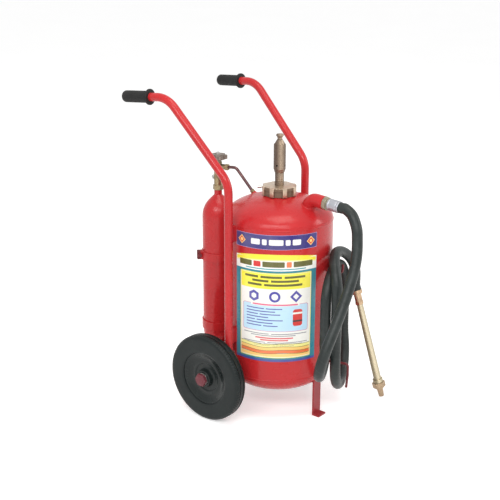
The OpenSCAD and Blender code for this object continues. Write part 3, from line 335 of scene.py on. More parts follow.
def painted_ear_shade(tree):
    """Painted shade: 0.9 on what stands out past the clamps' bands on the side cylinder."""
    return remap(tree, from_axis(tree, TANK_Y + CYLINDER_Y * MM), 0.0615, 0.0655, 0, 0.9)


# ---- materials ----

def enamel(name, base, dull, gloss=(0.2, 0.36), level=0.3, coat=0.12, shade_mask=None):
    """Sprayed enamel. The last argument is a mask of painted shade, where it is darkened."""
    mat, tree, shader = start(name)
    tone, rough, normal = use_group(tree, ENAMEL_GROUP, {
        "Base": base, "Dull": dull, "Gloss Low": gloss[0], "Gloss High": gloss[1]})
    if shade_mask:
        # Painted shade: a dark red where the mask says
        tone = mix(tree, shade_mask(tree), tone, (0.11, 0.018, 0.02))
    dress(tree, shader, Base_Color=tone, Roughness=rough, Normal=normal, Specular_IOR_Level=level,
          Coat_Weight=coat, Coat_Roughness=0.14)
    return mat


def metal(name, base, dark, rough, stain, weight=1.0, streak=0.0, scale=40, grain=(6, 6, 900),
          painted_shade=None):
    """Turned or cast metal. The last argument is a mask of painted shade: there it is darkened, and
    less metallic by as much.
    """
    mat, tree, shader = start(name)
    values = {"Base": base, "Dark": dark, "Rough Low": rough[0], "Rough High": rough[1],
              "Scale": scale, "Stain": stain, "Streak": streak, "Grain": grain}
    # Painted shade: darker and less metallic where the mask says
    if painted_shade:
        values["Soot"] = painted_shade(tree)
        clean = math_node(tree, "SUBTRACT", 1.0, values["Soot"])
        weight = math_node(tree, "MULTIPLY", clean, weight)
        dress(tree, shader, Specular_IOR_Level=0.2)
    tone, dull, normal = use_group(tree, METAL_GROUP, values)
    dress(tree, shader, Base_Color=tone, Roughness=dull, Normal=normal, Metallic=weight)
    return mat


def rubber(name, base, worn, rough=(0.42, 0.6), bloom=0.35, level=0.3):
    """Moulded rubber."""
    mat, tree, shader = start(name)
    tone, dull, normal = use_group(tree, RUBBER_GROUP, {
        "Base": base, "Worn": worn, "Bloom": bloom, "Rough Low": rough[0], "Rough High": rough[1]})
    dress(tree, shader, Base_Color=tone, Roughness=dull, Normal=normal, Specular_IOR_Level=level)
    return mat


def hose_skin():
    """Wrap-finished hose: shallow diagonal bands, 30 mm apart, left by the wrapping cloth, and its
    weave."""
    mat, tree, shader = start("hose_skin")
    place = add(tree, "TexCoord").outputs["UV"]
    around, along = add(tree, "SeparateXYZ", {0: place}).outputs[:2]
    band_pitch = 0.03
    turns = math_node(tree, "ADD", math_node(tree, "MULTIPLY", along, 1 / band_pitch), around)
    band = math_node(tree, "FRACT", turns)
    centred = math_node(tree, "ABSOLUTE", math_node(tree, "SUBTRACT", band, 0.5))
    edge = remap(tree, centred, 0.4, 0.5, 0, 1)
    cloth = add(tree, "Mapping", {"Vector": place, "Scale": (90, 900, 1), "Rotation": (0, 0, 0.6)})
    weave = add(tree, "TexVoronoi", {"Vector": cloth.outputs[0], "Scale": 1.0}, feature="F1")
    bloom = remap(tree, noise(tree, 20, 6), 0.38, 0.7, 0, 0.6)
    tone = mix(tree, bloom, (0.012, 0.017, 0.016), (0.03, 0.038, 0.037))
    tone = mix(tree, math_node(tree, "MULTIPLY", edge, 0.2), tone, (0.045, 0.052, 0.05))
    dress(tree, shader, Base_Color=tone, Specular_IOR_Level=0.34,
          Roughness=remap(tree, noise(tree, 130, 4), 0.3, 0.7, 0.34, 0.48),
          Normal=bump(tree, band, 0.00035, bump(tree, weave.outputs[0], 0.00012)))
    return mat


def print_film():
    """Printed label film: the ink comes from the mesh's own colours, under a thin clear film."""
    mat, tree, shader = start("print_film")
    ink = add(tree, "Attribute", attribute_name="ink").outputs["Color"]
    tone = mix(tree, remap(tree, noise(tree, 9, 5), 0.35, 0.7, 0, 0.1), ink, (0.72, 0.68, 0.6))
    dots = remap(tree, noise(tree, 700, 2), 0.62, 0.72, 0, 0.12)
    dress(tree, shader, Base_Color=mix(tree, dots, tone, (0.3, 0.3, 0.3)),
          Roughness=remap(tree, noise(tree, 45, 4), 0.3, 0.7, 0.24, 0.4),
          Normal=bump(tree, noise(tree, 60, 3), 0.00012),
          Specular_IOR_Level=0.3, Coat_Weight=0.1, Coat_Roughness=0.15)
    return mat


BRIGHT_RED, DULLED_RED = (0.52, 0.022, 0.024), (0.44, 0.018, 0.022)
RED = enamel("red_enamel", BRIGHT_RED, DULLED_RED, level=0.26)
# The clamps' ears get a painted shade
CLAMP = enamel("clamp_enamel", BRIGHT_RED, DULLED_RED, level=0.26, shade_mask=painted_ear_shade)
# A shaded copy of the red: painted shade on the hose hooks and the clamps' bolts
SHADE = enamel("dark_red_enamel", (0.2, 0.026, 0.032), (0.12, 0.018, 0.022), (0.3, 0.5))
# A shaded copy of the red: painted shade on the leg under the tank
LEG = enamel("leg_enamel", (0.34, 0.022, 0.028), (0.26, 0.018, 0.024), (0.3, 0.46))
DULL = enamel("dull_red_enamel", (0.17, 0.04, 0.05), (0.12, 0.03, 0.04), (0.4, 0.6), 0.25, 0.0)
BLACK = enamel("wheel_black", (0.011, 0.015, 0.015), (0.016, 0.021, 0.02), (0.2, 0.32), 0.22, 0.05)
BRASS = metal("aged_brass", (0.58, 0.46, 0.34), (0.22, 0.15, 0.1), (0.26, 0.42), 0.4, 0.8)
# Painted shade in the cap's recesses between its lugs
LUGGED = metal("cap_brass", (0.6, 0.48, 0.36), (0.12, 0.075, 0.045), (0.26, 0.42), 0.22, 0.8,
               painted_shade=recess_shade)
# Painted shade and dark reflection down the column's flanks
COLUMN = metal("streaked_brass", (0.52, 0.4, 0.29), (0.075, 0.05, 0.038), (0.2, 0.36), 0.25, 0.85,
               streak=0.35, painted_shade=painted_flank_shade)
# Painted shade and dark reflection along the nozzle's edges
GOLD = metal("bright_brass", (0.64, 0.56, 0.4), (0.2, 0.17, 0.09), (0.2, 0.34), 0.1, 0.75,
             scale=20, grain=(6, 6, 300), painted_shade=painted_nozzle_shade)
BROWN = metal("browned_brass", (0.42, 0.31, 0.2), (0.14, 0.09, 0.06), (0.26, 0.44), 0.6, 0.8)
COPPER = metal("tarnished_copper", (0.15, 0.08, 0.08), (0.06, 0.034, 0.04), (0.3, 0.5), 0.8)
COUPLE = metal("coppery_brass", (0.56, 0.4, 0.26), (0.28, 0.17, 0.1), (0.25, 0.45), 0.45)
STEEL = metal("zinc_plate", (0.62, 0.62, 0.6), (0.33, 0.32, 0.3), (0.25, 0.45), 0.6)
ALLOY = metal("crimped_alloy", (0.44, 0.45, 0.49), (0.34, 0.35, 0.4), (0.3, 0.44), 0.3, 0.85)
NICKEL = metal("dull_fitting", (0.36, 0.33, 0.25), (0.16, 0.14, 0.1), (0.28, 0.48), 0.7, 0.85)
VALVE = metal("greened_brass", (0.34, 0.26, 0.15), (0.13, 0.1, 0.06), (0.28, 0.5), 0.7)
IRON = metal("cast_iron_grey", (0.27, 0.22, 0.19), (0.12, 0.1, 0.08), (0.4, 0.65), 0.8, 0.6)
GRIP = rubber("grip_rubber", (0.018, 0.018, 0.018), (0.046, 0.046, 0.046), (0.5, 0.68), 0.25, 0.18)
TYRE = rubber("tyre_rubber", (0.009, 0.013, 0.013), (0.024, 0.031, 0.03), (0.34, 0.5), 0.35, 0.22)
SEAL = rubber("seal_rubber", (0.02, 0.02, 0.02), (0.06, 0.06, 0.06))
HOSE = hose_skin()
FILM = print_film()

SLOTS = {
    "red_paint": RED, "aged_brass": BRASS, "bright_brass": GOLD, "zinc_steel": STEEL,
    "ferrule_alloy": ALLOY, "hose_rubber": HOSE, "grip_rubber": GRIP, "seal_rubber": SEAL,
    "tyre_rubber": TYRE, "wheel_black": BLACK, "valve_wheel_iron": IRON, "copper_pipe": COPPER,
    "name_strip": FILM, "label": FILM,
}
# Finishes of single parts, some of them carrying painted shade
FINISH_AND_SHADE_BY_PART = {
    "valve_body": VALVE, "pipe_nuts": VALVE, "clamp_bolts": SHADE, "hose_hooks": SHADE,
    "clamp_bands": CLAMP, "front_leg": LEG, "relief_barrel": COLUMN, "relief_bonnet": COLUMN,
    "nozzle_collar": BROWN, "nozzle_tip": BROWN,
}
for title, node in NODES.items():
    for held in node.material_slots:
        held.material = FINISH_AND_SHADE_BY_PART.get(title) or SLOTS[held.material.name]

# ---- mesh helpers ----

def piece(name, mesh_data, material, body="extinguisher", hides=(), place=None, sharp=32):
    """A piece on a CAD body from its points and faces, shaded smooth up to an angle. Without a
    place its points are in the row frame."""
    verts, faces = mesh_data
    mesh = bpy.data.meshes.new(name)
    mesh.from_pydata(np.asarray(verts, float).tolist(), [], faces)
    if place is not None:
        mesh.transform(place)
    mesh.polygons.foreach_set("use_smooth", [True] * len(mesh.polygons))
    mesh.set_sharp_from_angle(angle=math.radians(sharp))
    mesh.materials.append(material)
    mesh.update()
    obj = bpy.data.objects.new(name, mesh)
    bpy.context.scene.collection.objects.link(obj)
    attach(obj, body)
    if hides:
        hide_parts(*hides)
    return obj


def corners_of(node):
    """A CAD node's points in millimetres of the row frame."""
    co = np.empty(3 * len(NODES[node].data.vertices), np.float32)
    NODES[node].data.vertices.foreach_get("co", co)
    return co.reshape(-1, 3).astype(float) / MM


def frame_at(origin, direction, mirrored=False):
    """From a piece's own millimetres, z along direction, to the row frame, or to its mirror image
    across x = 0."""
    z = Vector(direction).normalized()
    x = Vector((1, 0, 0)) if abs(z.x) < 0.9 else Vector((0, 0, 1))
    x = (x - z * x.dot(z)).normalized()
    made = Matrix((x, z.cross(x), z)).transposed().to_4x4()
    made.translation = placed(origin)
    made = made @ Matrix.Scale(MM, 4)
    return Matrix.Scale(-1, 4, (1, 0, 0)) @ made if mirrored else made


UPRIGHT = frame_at((0, 0, 0), (0, 0, 1))


def joined(parts):
    """Several meshes as one: each one's faces count on from the points before it."""
    verts, faces, base = [], [], 0
    for points, loops in parts:
        verts.append(points)
        faces += [[base + i for i in loop] for loop in loops]
        base += len(points)
    return np.concatenate(verts), faces


def grid_quads(rows, columns, ring_rows=False, ring_columns=False):
    """Quads of a grid of points numbered row by row. Quad (i, k) has the corners (i, k),
    (i, k + 1), (i + 1, k + 1) and (i + 1, k). A ring's last row or column joins its first."""
    i = np.arange(rows if ring_rows else rows - 1)[:, None]
    k = np.arange(columns if ring_columns else columns - 1)[None, :]
    j, m = (i + 1) % rows * columns, (k + 1) % columns
    i = i * columns
    return np.stack(np.broadcast_arrays(i + k, i + m, j + m, j + k), -1).reshape(-1, 4)


def round_faces(rows, sides, closed=False):
    """Quads round a tube of rings, with a flat end at each side unless the rows are a ring too."""
    faces = grid_quads(rows, sides, closed, True).tolist()
    if not closed:
        faces += [list(range(sides - 1, -1, -1)), list(range((rows - 1) * sides, rows * sides))]
    return faces


def eased(points, ease, closed=False, steps=3):
    """An outline with rounded corners. A corner p becomes a (1 - t)^2 + 2 p t (1 - t) + b t^2,
    where a and b lie on its two sides, ease away from it or at 0.45 of the shorter side."""
    p = np.array(points, float)
    back, ahead = np.roll(p, 1, 0) - p, np.roll(p, -1, 0) - p
    back_long, ahead_long = np.linalg.norm(back, axis=1), np.linalg.norm(ahead, axis=1)
    cut = np.minimum(ease, 0.45 * np.minimum(back_long, ahead_long))
    a = (p + back * (cut / back_long)[:, None])[:, None]
    b = (p + ahead * (cut / ahead_long)[:, None])[:, None]
    t = np.linspace(0, 1, steps + 1)[:, None]
    out = a * (1 - t) ** 2 + 2 * p[:, None] * t * (1 - t) + b * t * t
    if closed:
        return out.reshape(-1, 2)
    return np.concatenate([p[:1], out[1:-1].reshape(-1, 2), p[-1:]])


def lathe(outline, turns=96, shape=None, closed=False):
    """An outline of (radius r, height z) turned about z by angles a: x = r cos a, y = r sin a.
    turns is the angles or their number, and shape(a, r, z) may change a radius."""
    turns = np.arange(turns) * TAU / turns if isinstance(turns, int) else turns
    r, z = np.array(outline, float).T[:, :, None]
    a, r, z = np.broadcast_arrays(turns[None, :], r, z)
    r = shape(a, r, z) if shape else r
    points = np.stack((r * np.cos(a), r * np.sin(a), z), -1).reshape(-1, 3)
    return points, round_faces(*r.shape, closed)


def hexed(size):
    """A shape for lathe that keeps points in a hexagon of a size across its corners: the radius is
    at most size / 2 times cos 30 over the cosine of the angle from the nearest flat's middle."""
    half = math.pi / 6

    def shape(a, r, z):
        off = (a + half) % (2 * half) - half
        return np.minimum(r, size / 2 * math.cos(half) / np.cos(off))
    return shape


def hexed_where(size, test):
    """hexed only at heights z where test(z) holds."""
    flat = hexed(size)
    return lambda a, r, z: np.where(test(z), flat(a, r, z), r)


def run_along(path):
    """The length from a path's start to each of its points."""
    return np.concatenate([[0], np.cumsum(np.linalg.norm(np.diff(path, axis=0), axis=1))])


def sweep(path, radius, sides=32, ripple=None):
    """A tube: path + r (side cos k + other sin k). side is carried along from point to point and
    kept square to the path, other is square to both, and ripple(length) may change r."""
    along = np.gradient(path, axis=0)
    along /= np.linalg.norm(along, axis=1)[:, None]
    held = np.cross(along[0], (0, 0, 1) if abs(along[0][2]) < 0.9 else (1, 0, 0))
    side = np.empty_like(along)
    for i, way in enumerate(along):
        held = held - way * held.dot(way)
        held /= np.linalg.norm(held)
        side[i] = held
    other = np.cross(along, side)
    k = (np.arange(sides) * TAU / sides)[None, :, None]
    r = radius * (ripple(run_along(path)) if ripple else np.ones(len(path)))
    ring = np.cos(k) * side[:, None] + np.sin(k) * other[:, None]
    points = path[:, None] + r[:, None, None] * ring
    return points.reshape(-1, 3), round_faces(len(path), sides)


def smooth_line(points, steps):
    """A Catmull-Rom line: between b and c, with the neighbours a and d, half of 2b + (c - a) f +
    (2a - 5b + 4c - d) f^2 + (3b - a - 3c + d) f^3."""
    p = np.array(points, float)
    i = np.arange(len(p) - 1)
    a, b = p[np.maximum(i - 1, 0), None], p[i, None]
    c, d = p[i + 1, None], p[np.minimum(i + 2, len(p) - 1), None]
    f = (np.arange(steps) / steps)[:, None]
    line = 0.5 * (2 * b + (c - a) * f + (2 * a - 5 * b + 4 * c - d) * f ** 2
                  + (3 * b - a - 3 * c + d) * f ** 3)
    return np.concatenate([line.reshape(-1, 3), p[-1:]])


# ---- hose ----

HANK_FOLD = math.pi * FOLD_R
HANK_LAP = 2 * HANK_RUN + 2 * HANK_FOLD
# How much lower the first lap's fold is, how far out its first and second laps lie, and where
# along the first the hose comes in
FOLD_DROP, HANK_IN, HANK_STEP, HANK_START = 44.0, 197.0, 36.0, 111.0
TAIL_END = HANK_LAP + HANK_RUN + HANK_FOLD
CLIMB_START = HANK_RUN + HANK_FOLD + 150
FERRULE_START = OUTLET_STOP + OUTLET_DIR * 17
HOSE_EXIT = FERRULE_START + OUTLET_DIR * 41
HOSE_LEAD = [
    (-4, -283, 702), (-11, -304, 668), (-16, -311, 632), (-27, -318, 588), (-44, -321, 545),
    (-65, -321, 502), (-88, -320, 459), (-116, -318, 412), (-145, -315, 364), (-170, -311, 320),
    (-184, -305, 278), (-178, -294, 243), (-152, -277, 220), (-114, -257, 211), (-76, -239, 220),
    (-50, -226, 243),
]


def beside(w, u, z):
    """w out from the tank's axis, u sideways and z up, turned with the hank by an angle t:
    x = w sin t + u cos t, y = u sin t - w cos t."""
    c, s = math.cos(HANK_TURN), math.sin(HANK_TURN)
    return np.stack(np.broadcast_arrays(w * s + u * c, u * s - w * c, z), -1)


def hank_points(s):
    """Points of the hank at lengths s from the foot of its first upward run: a run up, a half
    circle over, a run down and a half circle under. The first lap's fold is lower, and climbs out
    to the second by 3f^2 - 2f^3. The second's fold leans in over it by a squared cosine."""
    lap, m = np.divmod(np.atleast_1d(np.asarray(s, float)), HANK_LAP)
    later = lap > 0
    run = np.where(later, HANK_RUN, HANK_RUN - FOLD_DROP)
    lean = np.cos(math.pi * np.clip((m - HANK_RUN) / HANK_FOLD, 0, 1)) ** 2
    climb = np.clip((m - CLIMB_START) / (HANK_LAP - CLIMB_START), 0, 1)
    out = HANK_IN + HANK_STEP * np.where(later, lean, climb * climb * (3 - 2 * climb))
    down_end = 2 * HANK_RUN + HANK_FOLD
    over, under = (m - HANK_RUN) / FOLD_R, (m - down_end) / FOLD_R
    parts = [m < HANK_RUN, m < HANK_RUN + HANK_FOLD, m < down_end]
    u = np.select(parts, [-FOLD_R, -FOLD_R * np.cos(over), FOLD_R], FOLD_R * np.cos(under))
    v = np.select(parts, [run * m / HANK_RUN, run + FOLD_R * np.sin(over),
                          run * (down_end - m) / HANK_RUN], -FOLD_R * np.sin(under))
    return beside(out, u, HANK_Z + v)


def hose_route():
    """The hose from its ferrule down in front, once and a half round the hooks, to the nozzle."""
    first, ahead = hank_points([HANK_START, HANK_START + 40])
    ahead = (ahead - first) / np.linalg.norm(ahead - first)
    stub = HOSE_EXIT + np.outer((0, 11, 22), OUTLET_DIR)
    lead = smooth_line([*stub, *HOSE_LEAD, first - ahead * 22, first], 6)
    hank = hank_points(np.arange(HANK_START + 7, TAIL_END - 4, 7))
    tail = smooth_line([*hank_points([TAIL_END, TAIL_END + 24]), NOZZLE_TOP - NOZZLE_DIR * 16,
                        NOZZLE_TOP], 5)
    return placed(np.concatenate([lead, hank, tail]))


def make_hose(carried):
    """The one hose, as a mesh tube along its route, with a map round it (0 to 1) and along it (in
    metres)."""
    route, sides = hose_route(), 36
    obj = piece("discharge_hose", sweep(route, HOSE_R * MM, sides), HOSE,
                hides=("hose_lead", "hose_hank", "hose_tail"), sharp=60)
    run = run_along(route)
    i, k = np.arange(len(route) - 1)[:, None], np.arange(sides)[None, :]
    around = np.stack(np.broadcast_arrays(k, k + 1, k + 1, k + 0 * i), -1) / sides
    along = run[np.stack(np.broadcast_arrays(i, i, i + 1, i + 1 + 0 * k), -1)]
    layer = obj.data.uv_layers.new(name="wrap")
    uv = np.empty(2 * len(layer.data))
    layer.data.foreach_get("uv", uv)
    wrap = np.stack((around, along), -1).ravel()
    uv[:len(wrap)] = wrap
    layer.data.foreach_set("uv", uv)
    return obj


# ---- outlet fittings and nozzle ----

def make_ferrule():
    """Alloy ferrule with rolled ends and eight swaged flats: r less 0.75 (1/2 + cos(8a) / 2)^6."""
    outline = [(12.2, 0), (16.6, 0), (18.8, 1.6), (18.8, 6), (17.9, 7.2), (17.9, 8.6), (18.8, 9.8),
               (18.8, 10.6), (18.8, 11.4), (18.8, 13), (18.8, 20), (18.8, 28), (18.8, 29.6),
               (18.8, 30.4), (18.8, 31), (17.9, 32.2), (17.9, 33.6), (18.8, 34.8), (18.8, 39.6),
               (18.1, 41), (12.2, 41)]

    def crimp(a, r, z):
        pinch = 0.75 * (0.5 + 0.5 * np.cos(8 * a)) ** 6
        return np.where((z > 10.5) & (z < 30.5) & (r > 15), r - pinch, r)

    place = frame_at(FERRULE_START, OUTLET_DIR)
    return piece("crimped_ferrule", lathe(eased(outline, 0.5, True, 2), 96, crimp, True), ALLOY,
                 hides=("hose_ferrule",), place=place)


def make_adaptor():
    """Hexagon fitting with chamfered corners, a thread relief and its collar."""
    outline = [(12.2, -9.6), (16.8, -9.6), (16.8, -0.4), (20.4, 0), (22.6, 1.6), (22.6, 11.2),
               (20.2, 13), (16.8, 13), (16.8, 14), (15.4, 14.6), (15.4, 16.2), (16.8, 16.8),
               (12.2, 16.9)]
    piece("hexagon_adaptor", lathe(eased(outline, 0.4, True, 2), 96, hexed(45.4), True), NICKEL,
          hides=("outlet_adaptor",), place=frame_at(OUTLET_STOP, OUTLET_DIR))


def make_coupling():
    """Banded coupling on the hose's end, with a union nut at its foot."""
    outline = [(7, 0), (17.2, 0), (18, 0.9), (18, 3.4), (17.2, 4.2), (17.2, 5), (18, 5.8),
               (18, 8.3), (17.2, 9.1), (17.2, 9.9), (18, 10.7), (18, 13.1), (17, 14),
               (12.9, 14.4), (12.5, 18), (12.5, 25), (11.9, 25.7), (11.9, 27), (12.5, 27.7),
               (12.5, 42.6), (12.5, 42.8), (14, 43), (15, 44), (15, 51), (14, 52), (7, 52)]
    nut = hexed_where(30, lambda z: z > 42.7)
    return piece("banded_coupling", lathe(eased(outline, 0.35, True, 2), 96, nut, True), COUPLE,
                 hides=("nozzle_coupling",), place=frame_at(NOZZLE_TOP, NOZZLE_DIR))


# ---- cap and relief valve ----

def make_cap():
    """Lugged cap: a plate scalloped between its lugs, and rounded lugs that hang round the skirt.
    The radius goes from a recess's to a lug's by 3n^2 - 2n^3 over the lug's border."""
    outline = [(10.7, 742), (44.2, 742), (44.2, 723.7), (53.4, 723.7), (55.3, 724.4), (56, 726),
               (56, 742.6), (56, 743.6), (56, 752), (55.4, 753.4), (53.6, 754), (10.7, 754)]
    half = math.pi / CAP_LUGS
    skirt_r, scallop, border = 49.2, 3.6, 1.3

    def lugs(a, r, z):
        off = np.abs((a - CAP_PHASE + half) % (2 * half) - half) * r
        near = np.clip((LUG_W / 2 + border - off) / (2 * border), 0, 1)
        root = np.where(z < SKIRT_TOP, skirt_r, r - scallop)
        return np.where(r < 50, r, root + (r - root) * near * near * (3 - 2 * near))

    steps = np.concatenate([np.linspace(-0.24, 0.24, 5), np.linspace(0.29, 0.5, 14),
                            np.linspace(0.6, 1.4, 6), np.linspace(1.5, 1.71, 14)])
    turns = CAP_PHASE + half * (2 * np.arange(CAP_LUGS)[:, None] + steps).ravel()
    piece("lugged_cap", lathe(outline, turns, lugs, True), LUGGED, hides=("cap",),
          place=UPRIGHT, sharp=38)


def make_column_foot():
    """The relief column's foot: a chamfered hexagon, a neck with two turned grooves and a seat."""
    outline = [(6, 742.1), (9.9, 742.1), (9.9, 753.7), (15.2, 754), (16.24, 754.9), (16.24, 765),
               (15.1, 766), (13.5, 766.3), (13.5, 767.6), (14.5, 768.3), (14.5, 772), (13.9, 772.6),
               (13.9, 774), (14.5, 774.6), (14.5, 794.4), (13.7, 795.8), (12.9, 795.9), (12.9, 803),
               (6, 803)]
    foot = hexed_where(32.48, lambda z: z < 766.2)
    piece("column_foot", lathe(eased(outline, 0.35, True, 2), 96, foot, True), COLUMN,
          hides=("relief_body",), place=UPRIGHT, sharp=34)


def make_pull_knob():
    """The relief valve's pull knob: a waist, a domed crown, and a rim with 36 knurls, r less 0.35
    (1/2 + cos(36a) / 2)."""
    outline = [(3.8, 0), (7.6, 0), (7.6, 1.8), (8.1, 4.6), (9.6, 7.6), (11.3, 9.4), (12, 10.2),
               (12, 14.1), (11.4, 15), (9.6, 16.3), (7.4, 16.9), (3, 17), (0.5, 17)]

    def knurl(a, r, z):
        return np.where(r > 11.6, r - 0.35 * (0.5 + 0.5 * np.cos(36 * a)), r)

    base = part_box("relief_knob")[0].z / MM
    piece("knurled_knob", lathe(eased(outline, 0.5, False, 2), 180, knurl), COLUMN,
          "relief_lifter", ("relief_knob",), frame_at((0, 0, base), (0, 0, 1)), 40)


def press_spring():
    """Gives the relief spring a copy of its mesh of its own."""
    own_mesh(NODES["relief_spring"])


press_spring()
make_cap()
make_column_foot()
make_pull_knob()
make_adaptor()
make_hose([make_ferrule(), make_coupling(), NODES["nozzle_tube"], NODES["nozzle_collar"],
           NODES["nozzle_tip"]])

# ---- wheels ----

def mirrored_section(half):
    """Both halves of a wheel's section from the outer one's (radius, offset) points."""
    return [(r, -x) for r, x in reversed(half)] + half


def make_tyre(side, place):
    """A solid rubber tyre with rounded shoulders, two grooves, and a cut every 4 degrees across its
    tread's edges."""
    section = [(143.6, 0), (144, 1), (144, 5.5), (142, 5.7), (142, 8.3), (144, 8.5), (144, 11)]
    section += [(131 + 13 * math.cos(a), 10 + 13 * math.sin(a))
                for a in np.radians([12, 26, 40, 54, 68, 80])]
    section += [(128, 23), (124, 23), (118, 22.8), (108, 22.6), (96, 22.4), (91.5, 22), (89, 21),
                (88, 20)]
    pitch, cut_deep = math.radians(4), 1.1
    blocks = np.arange(round(TAU / pitch))
    turns = ((blocks[:, None] + (0, 0.1, 0.22, 0.32, 0.66)) * pitch).ravel()
    cuts = np.tile((0, 1, 1, 0, 0), len(blocks))

    def tread(a, r, x):
        edges = (np.abs(x) > 8.4) & (np.abs(x) < 20) & (r > 134)
        return np.where(edges, r - cut_deep * cuts, r)

    piece(side + "_tread_tyre", lathe(mirrored_section(section), turns, tread, True), TYRE,
          side + "_wheel", (side + "_tyre",), place, 28)


def make_disc(side, place):
    """A dished disc wheel with a raised ring and hub."""
    section = [(17.3, 25.2), (25.6, 25.2), (27.6, 23.8), (28.2, 12), (30, 7.4), (34.5, 5.2),
               (45.6, 4.6), (47.4, 6.8), (50, 7.6), (53, 7.2), (57, 6.6), (63, 7.4), (70, 9.8),
               (77, 13.4), (82.5, 16.6), (85.5, 17.8), (87.7, 18)]
    outline = eased(mirrored_section(section), 1.2, True, 3)
    piece(side + "_disc_wheel", lathe(outline, 128, None, True), BLACK,
          side + "_wheel", (side + "_rim",), place, 40)


def on_axle(place):
    """From a piece's own millimetres, z along x, to a place in the row frame."""
    return Matrix.Translation(place) @ Matrix.Rotation(math.pi / 2, 4, "Y") @ Matrix.Scale(MM, 4)


for side in ("left", "right"):
    low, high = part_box(side + "_tyre")
    make_tyre(side, on_axle((low + high) / 2))
    make_disc(side, on_axle((low + high) / 2))


def make_hub_nuts():
    """Domed hexagon nuts with chamfered corners, painted over, one at each end of the axle."""
    x, y, z = corners_of("hub_nuts").T
    inner = np.abs(x).min()
    tall = np.abs(x).max() - inner
    outline = [(12.8, 0), (18.6, 0), (22, 1.2), (22, 9.2), (19, 11), (15.2, 11.2),
               (14.4, tall - 2.2), (11, tall - 0.5), (3, tall), (0.5, tall)]
    points, faces = lathe(eased(outline, 0.6, False, 2), 96, hexed(44))
    across_nut, round_nut, along_nut = points.T
    cy, cz = (y.min() + y.max()) / 2, (z.min() + z.max()) / 2
    nuts = []
    for sign in (-1, 1):
        nut = np.stack((sign * (inner + along_nut), cy + round_nut, cz - sign * across_nut), -1)
        nuts.append((nut * MM, faces))
    piece("domed_hub_nuts", joined(nuts), DULL, hides=("hub_nuts",))


make_hub_nuts()

# ---- grips ----

def make_grips():
    """Moulded grips with a flange, a rounded end and 36 fine lengthwise ribs, r less 0.45
    (1/2 + cos(36a) / 2). The left one is the right one's mirror image."""
    out = math.atan2(GRIP_BEND[0] - HANDLE_X, GRIP_BEND[1] - HANDLE_Y)
    aim = np.array((math.sin(out) * math.cos(GRIP_DROOP), math.cos(out) * math.cos(GRIP_DROOP),
                    -math.sin(GRIP_DROOP)))
    tall, past_tube = 110, 6.2
    foot = GRIP_BEND + aim * (GRIP_REACH + past_tube - tall)
    outline = [(13.7, 0), (23.6, 0), (25.4, 1.6), (25.4, 5.4), (23.6, 7), (20.6, 7.4), (19, 9.4),
               (18.6, 12), (19, 14), (19, 16), (19, 60), (19, 92), (19, 94), (18.8, 97)]
    outline += [(19 - 12 * (1 - math.cos(a)), tall - 12 * (1 - math.sin(a)))
                for a in np.radians([10, 25, 40, 55, 70, 84])]
    outline += [(5, tall), (3.2, 109.9), (2.6, 108.4), (0.4, 108.2)]

    def ribs(a, r, z):
        return np.where((z > 14.5) & (z < 93), r - 0.45 * (0.5 + 0.5 * np.cos(36 * a)), r)

    points, faces = lathe(outline, 288, ribs)
    for side in ("right", "left"):
        mirrored = side == "left"
        turned = [loop[::-1] for loop in faces] if mirrored else faces
        piece(side + "_ribbed_grip", (points, turned), GRIP, hides=(side + "_grip",),
              place=frame_at(foot, aim, mirrored), sharp=40)


make_grips()

# ---- labels ----

def tint(red, green, blue):
    """A colour of 0 to 255 as linear light."""
    return tuple((c / 255 / 12.92 if c <= 10 else ((c / 255 + 0.055) / 1.055) ** 2.4)
                 for c in (red, green, blue))


NAVY, TEAL, YELLOW = tint(44, 36, 116), tint(22, 128, 148), tint(240, 226, 60)
LEMON, WHITE, PALE = tint(243, 232, 70), tint(238, 238, 232), tint(186, 220, 240)
CREAM, AMBER, ORANGE = tint(244, 238, 150), tint(250, 205, 120), tint(236, 120, 70)
INK_RED, ROSE, BRICK = tint(206, 52, 48), tint(220, 90, 130), tint(214, 96, 104)
GREY, OLIVE, DARK = tint(128, 128, 140), tint(92, 92, 38), tint(60, 50, 50)
BLUE, PINK, LILAC = tint(66, 62, 160), tint(205, 120, 160), tint(176, 164, 210)
SEA, VIOLET = tint(60, 150, 160), tint(60, 70, 150)

# How far the film stands off the tank, and how far each layer of ink stands on the one below
FILM_LIFT, INK_LIFT = 0.42, 0.035


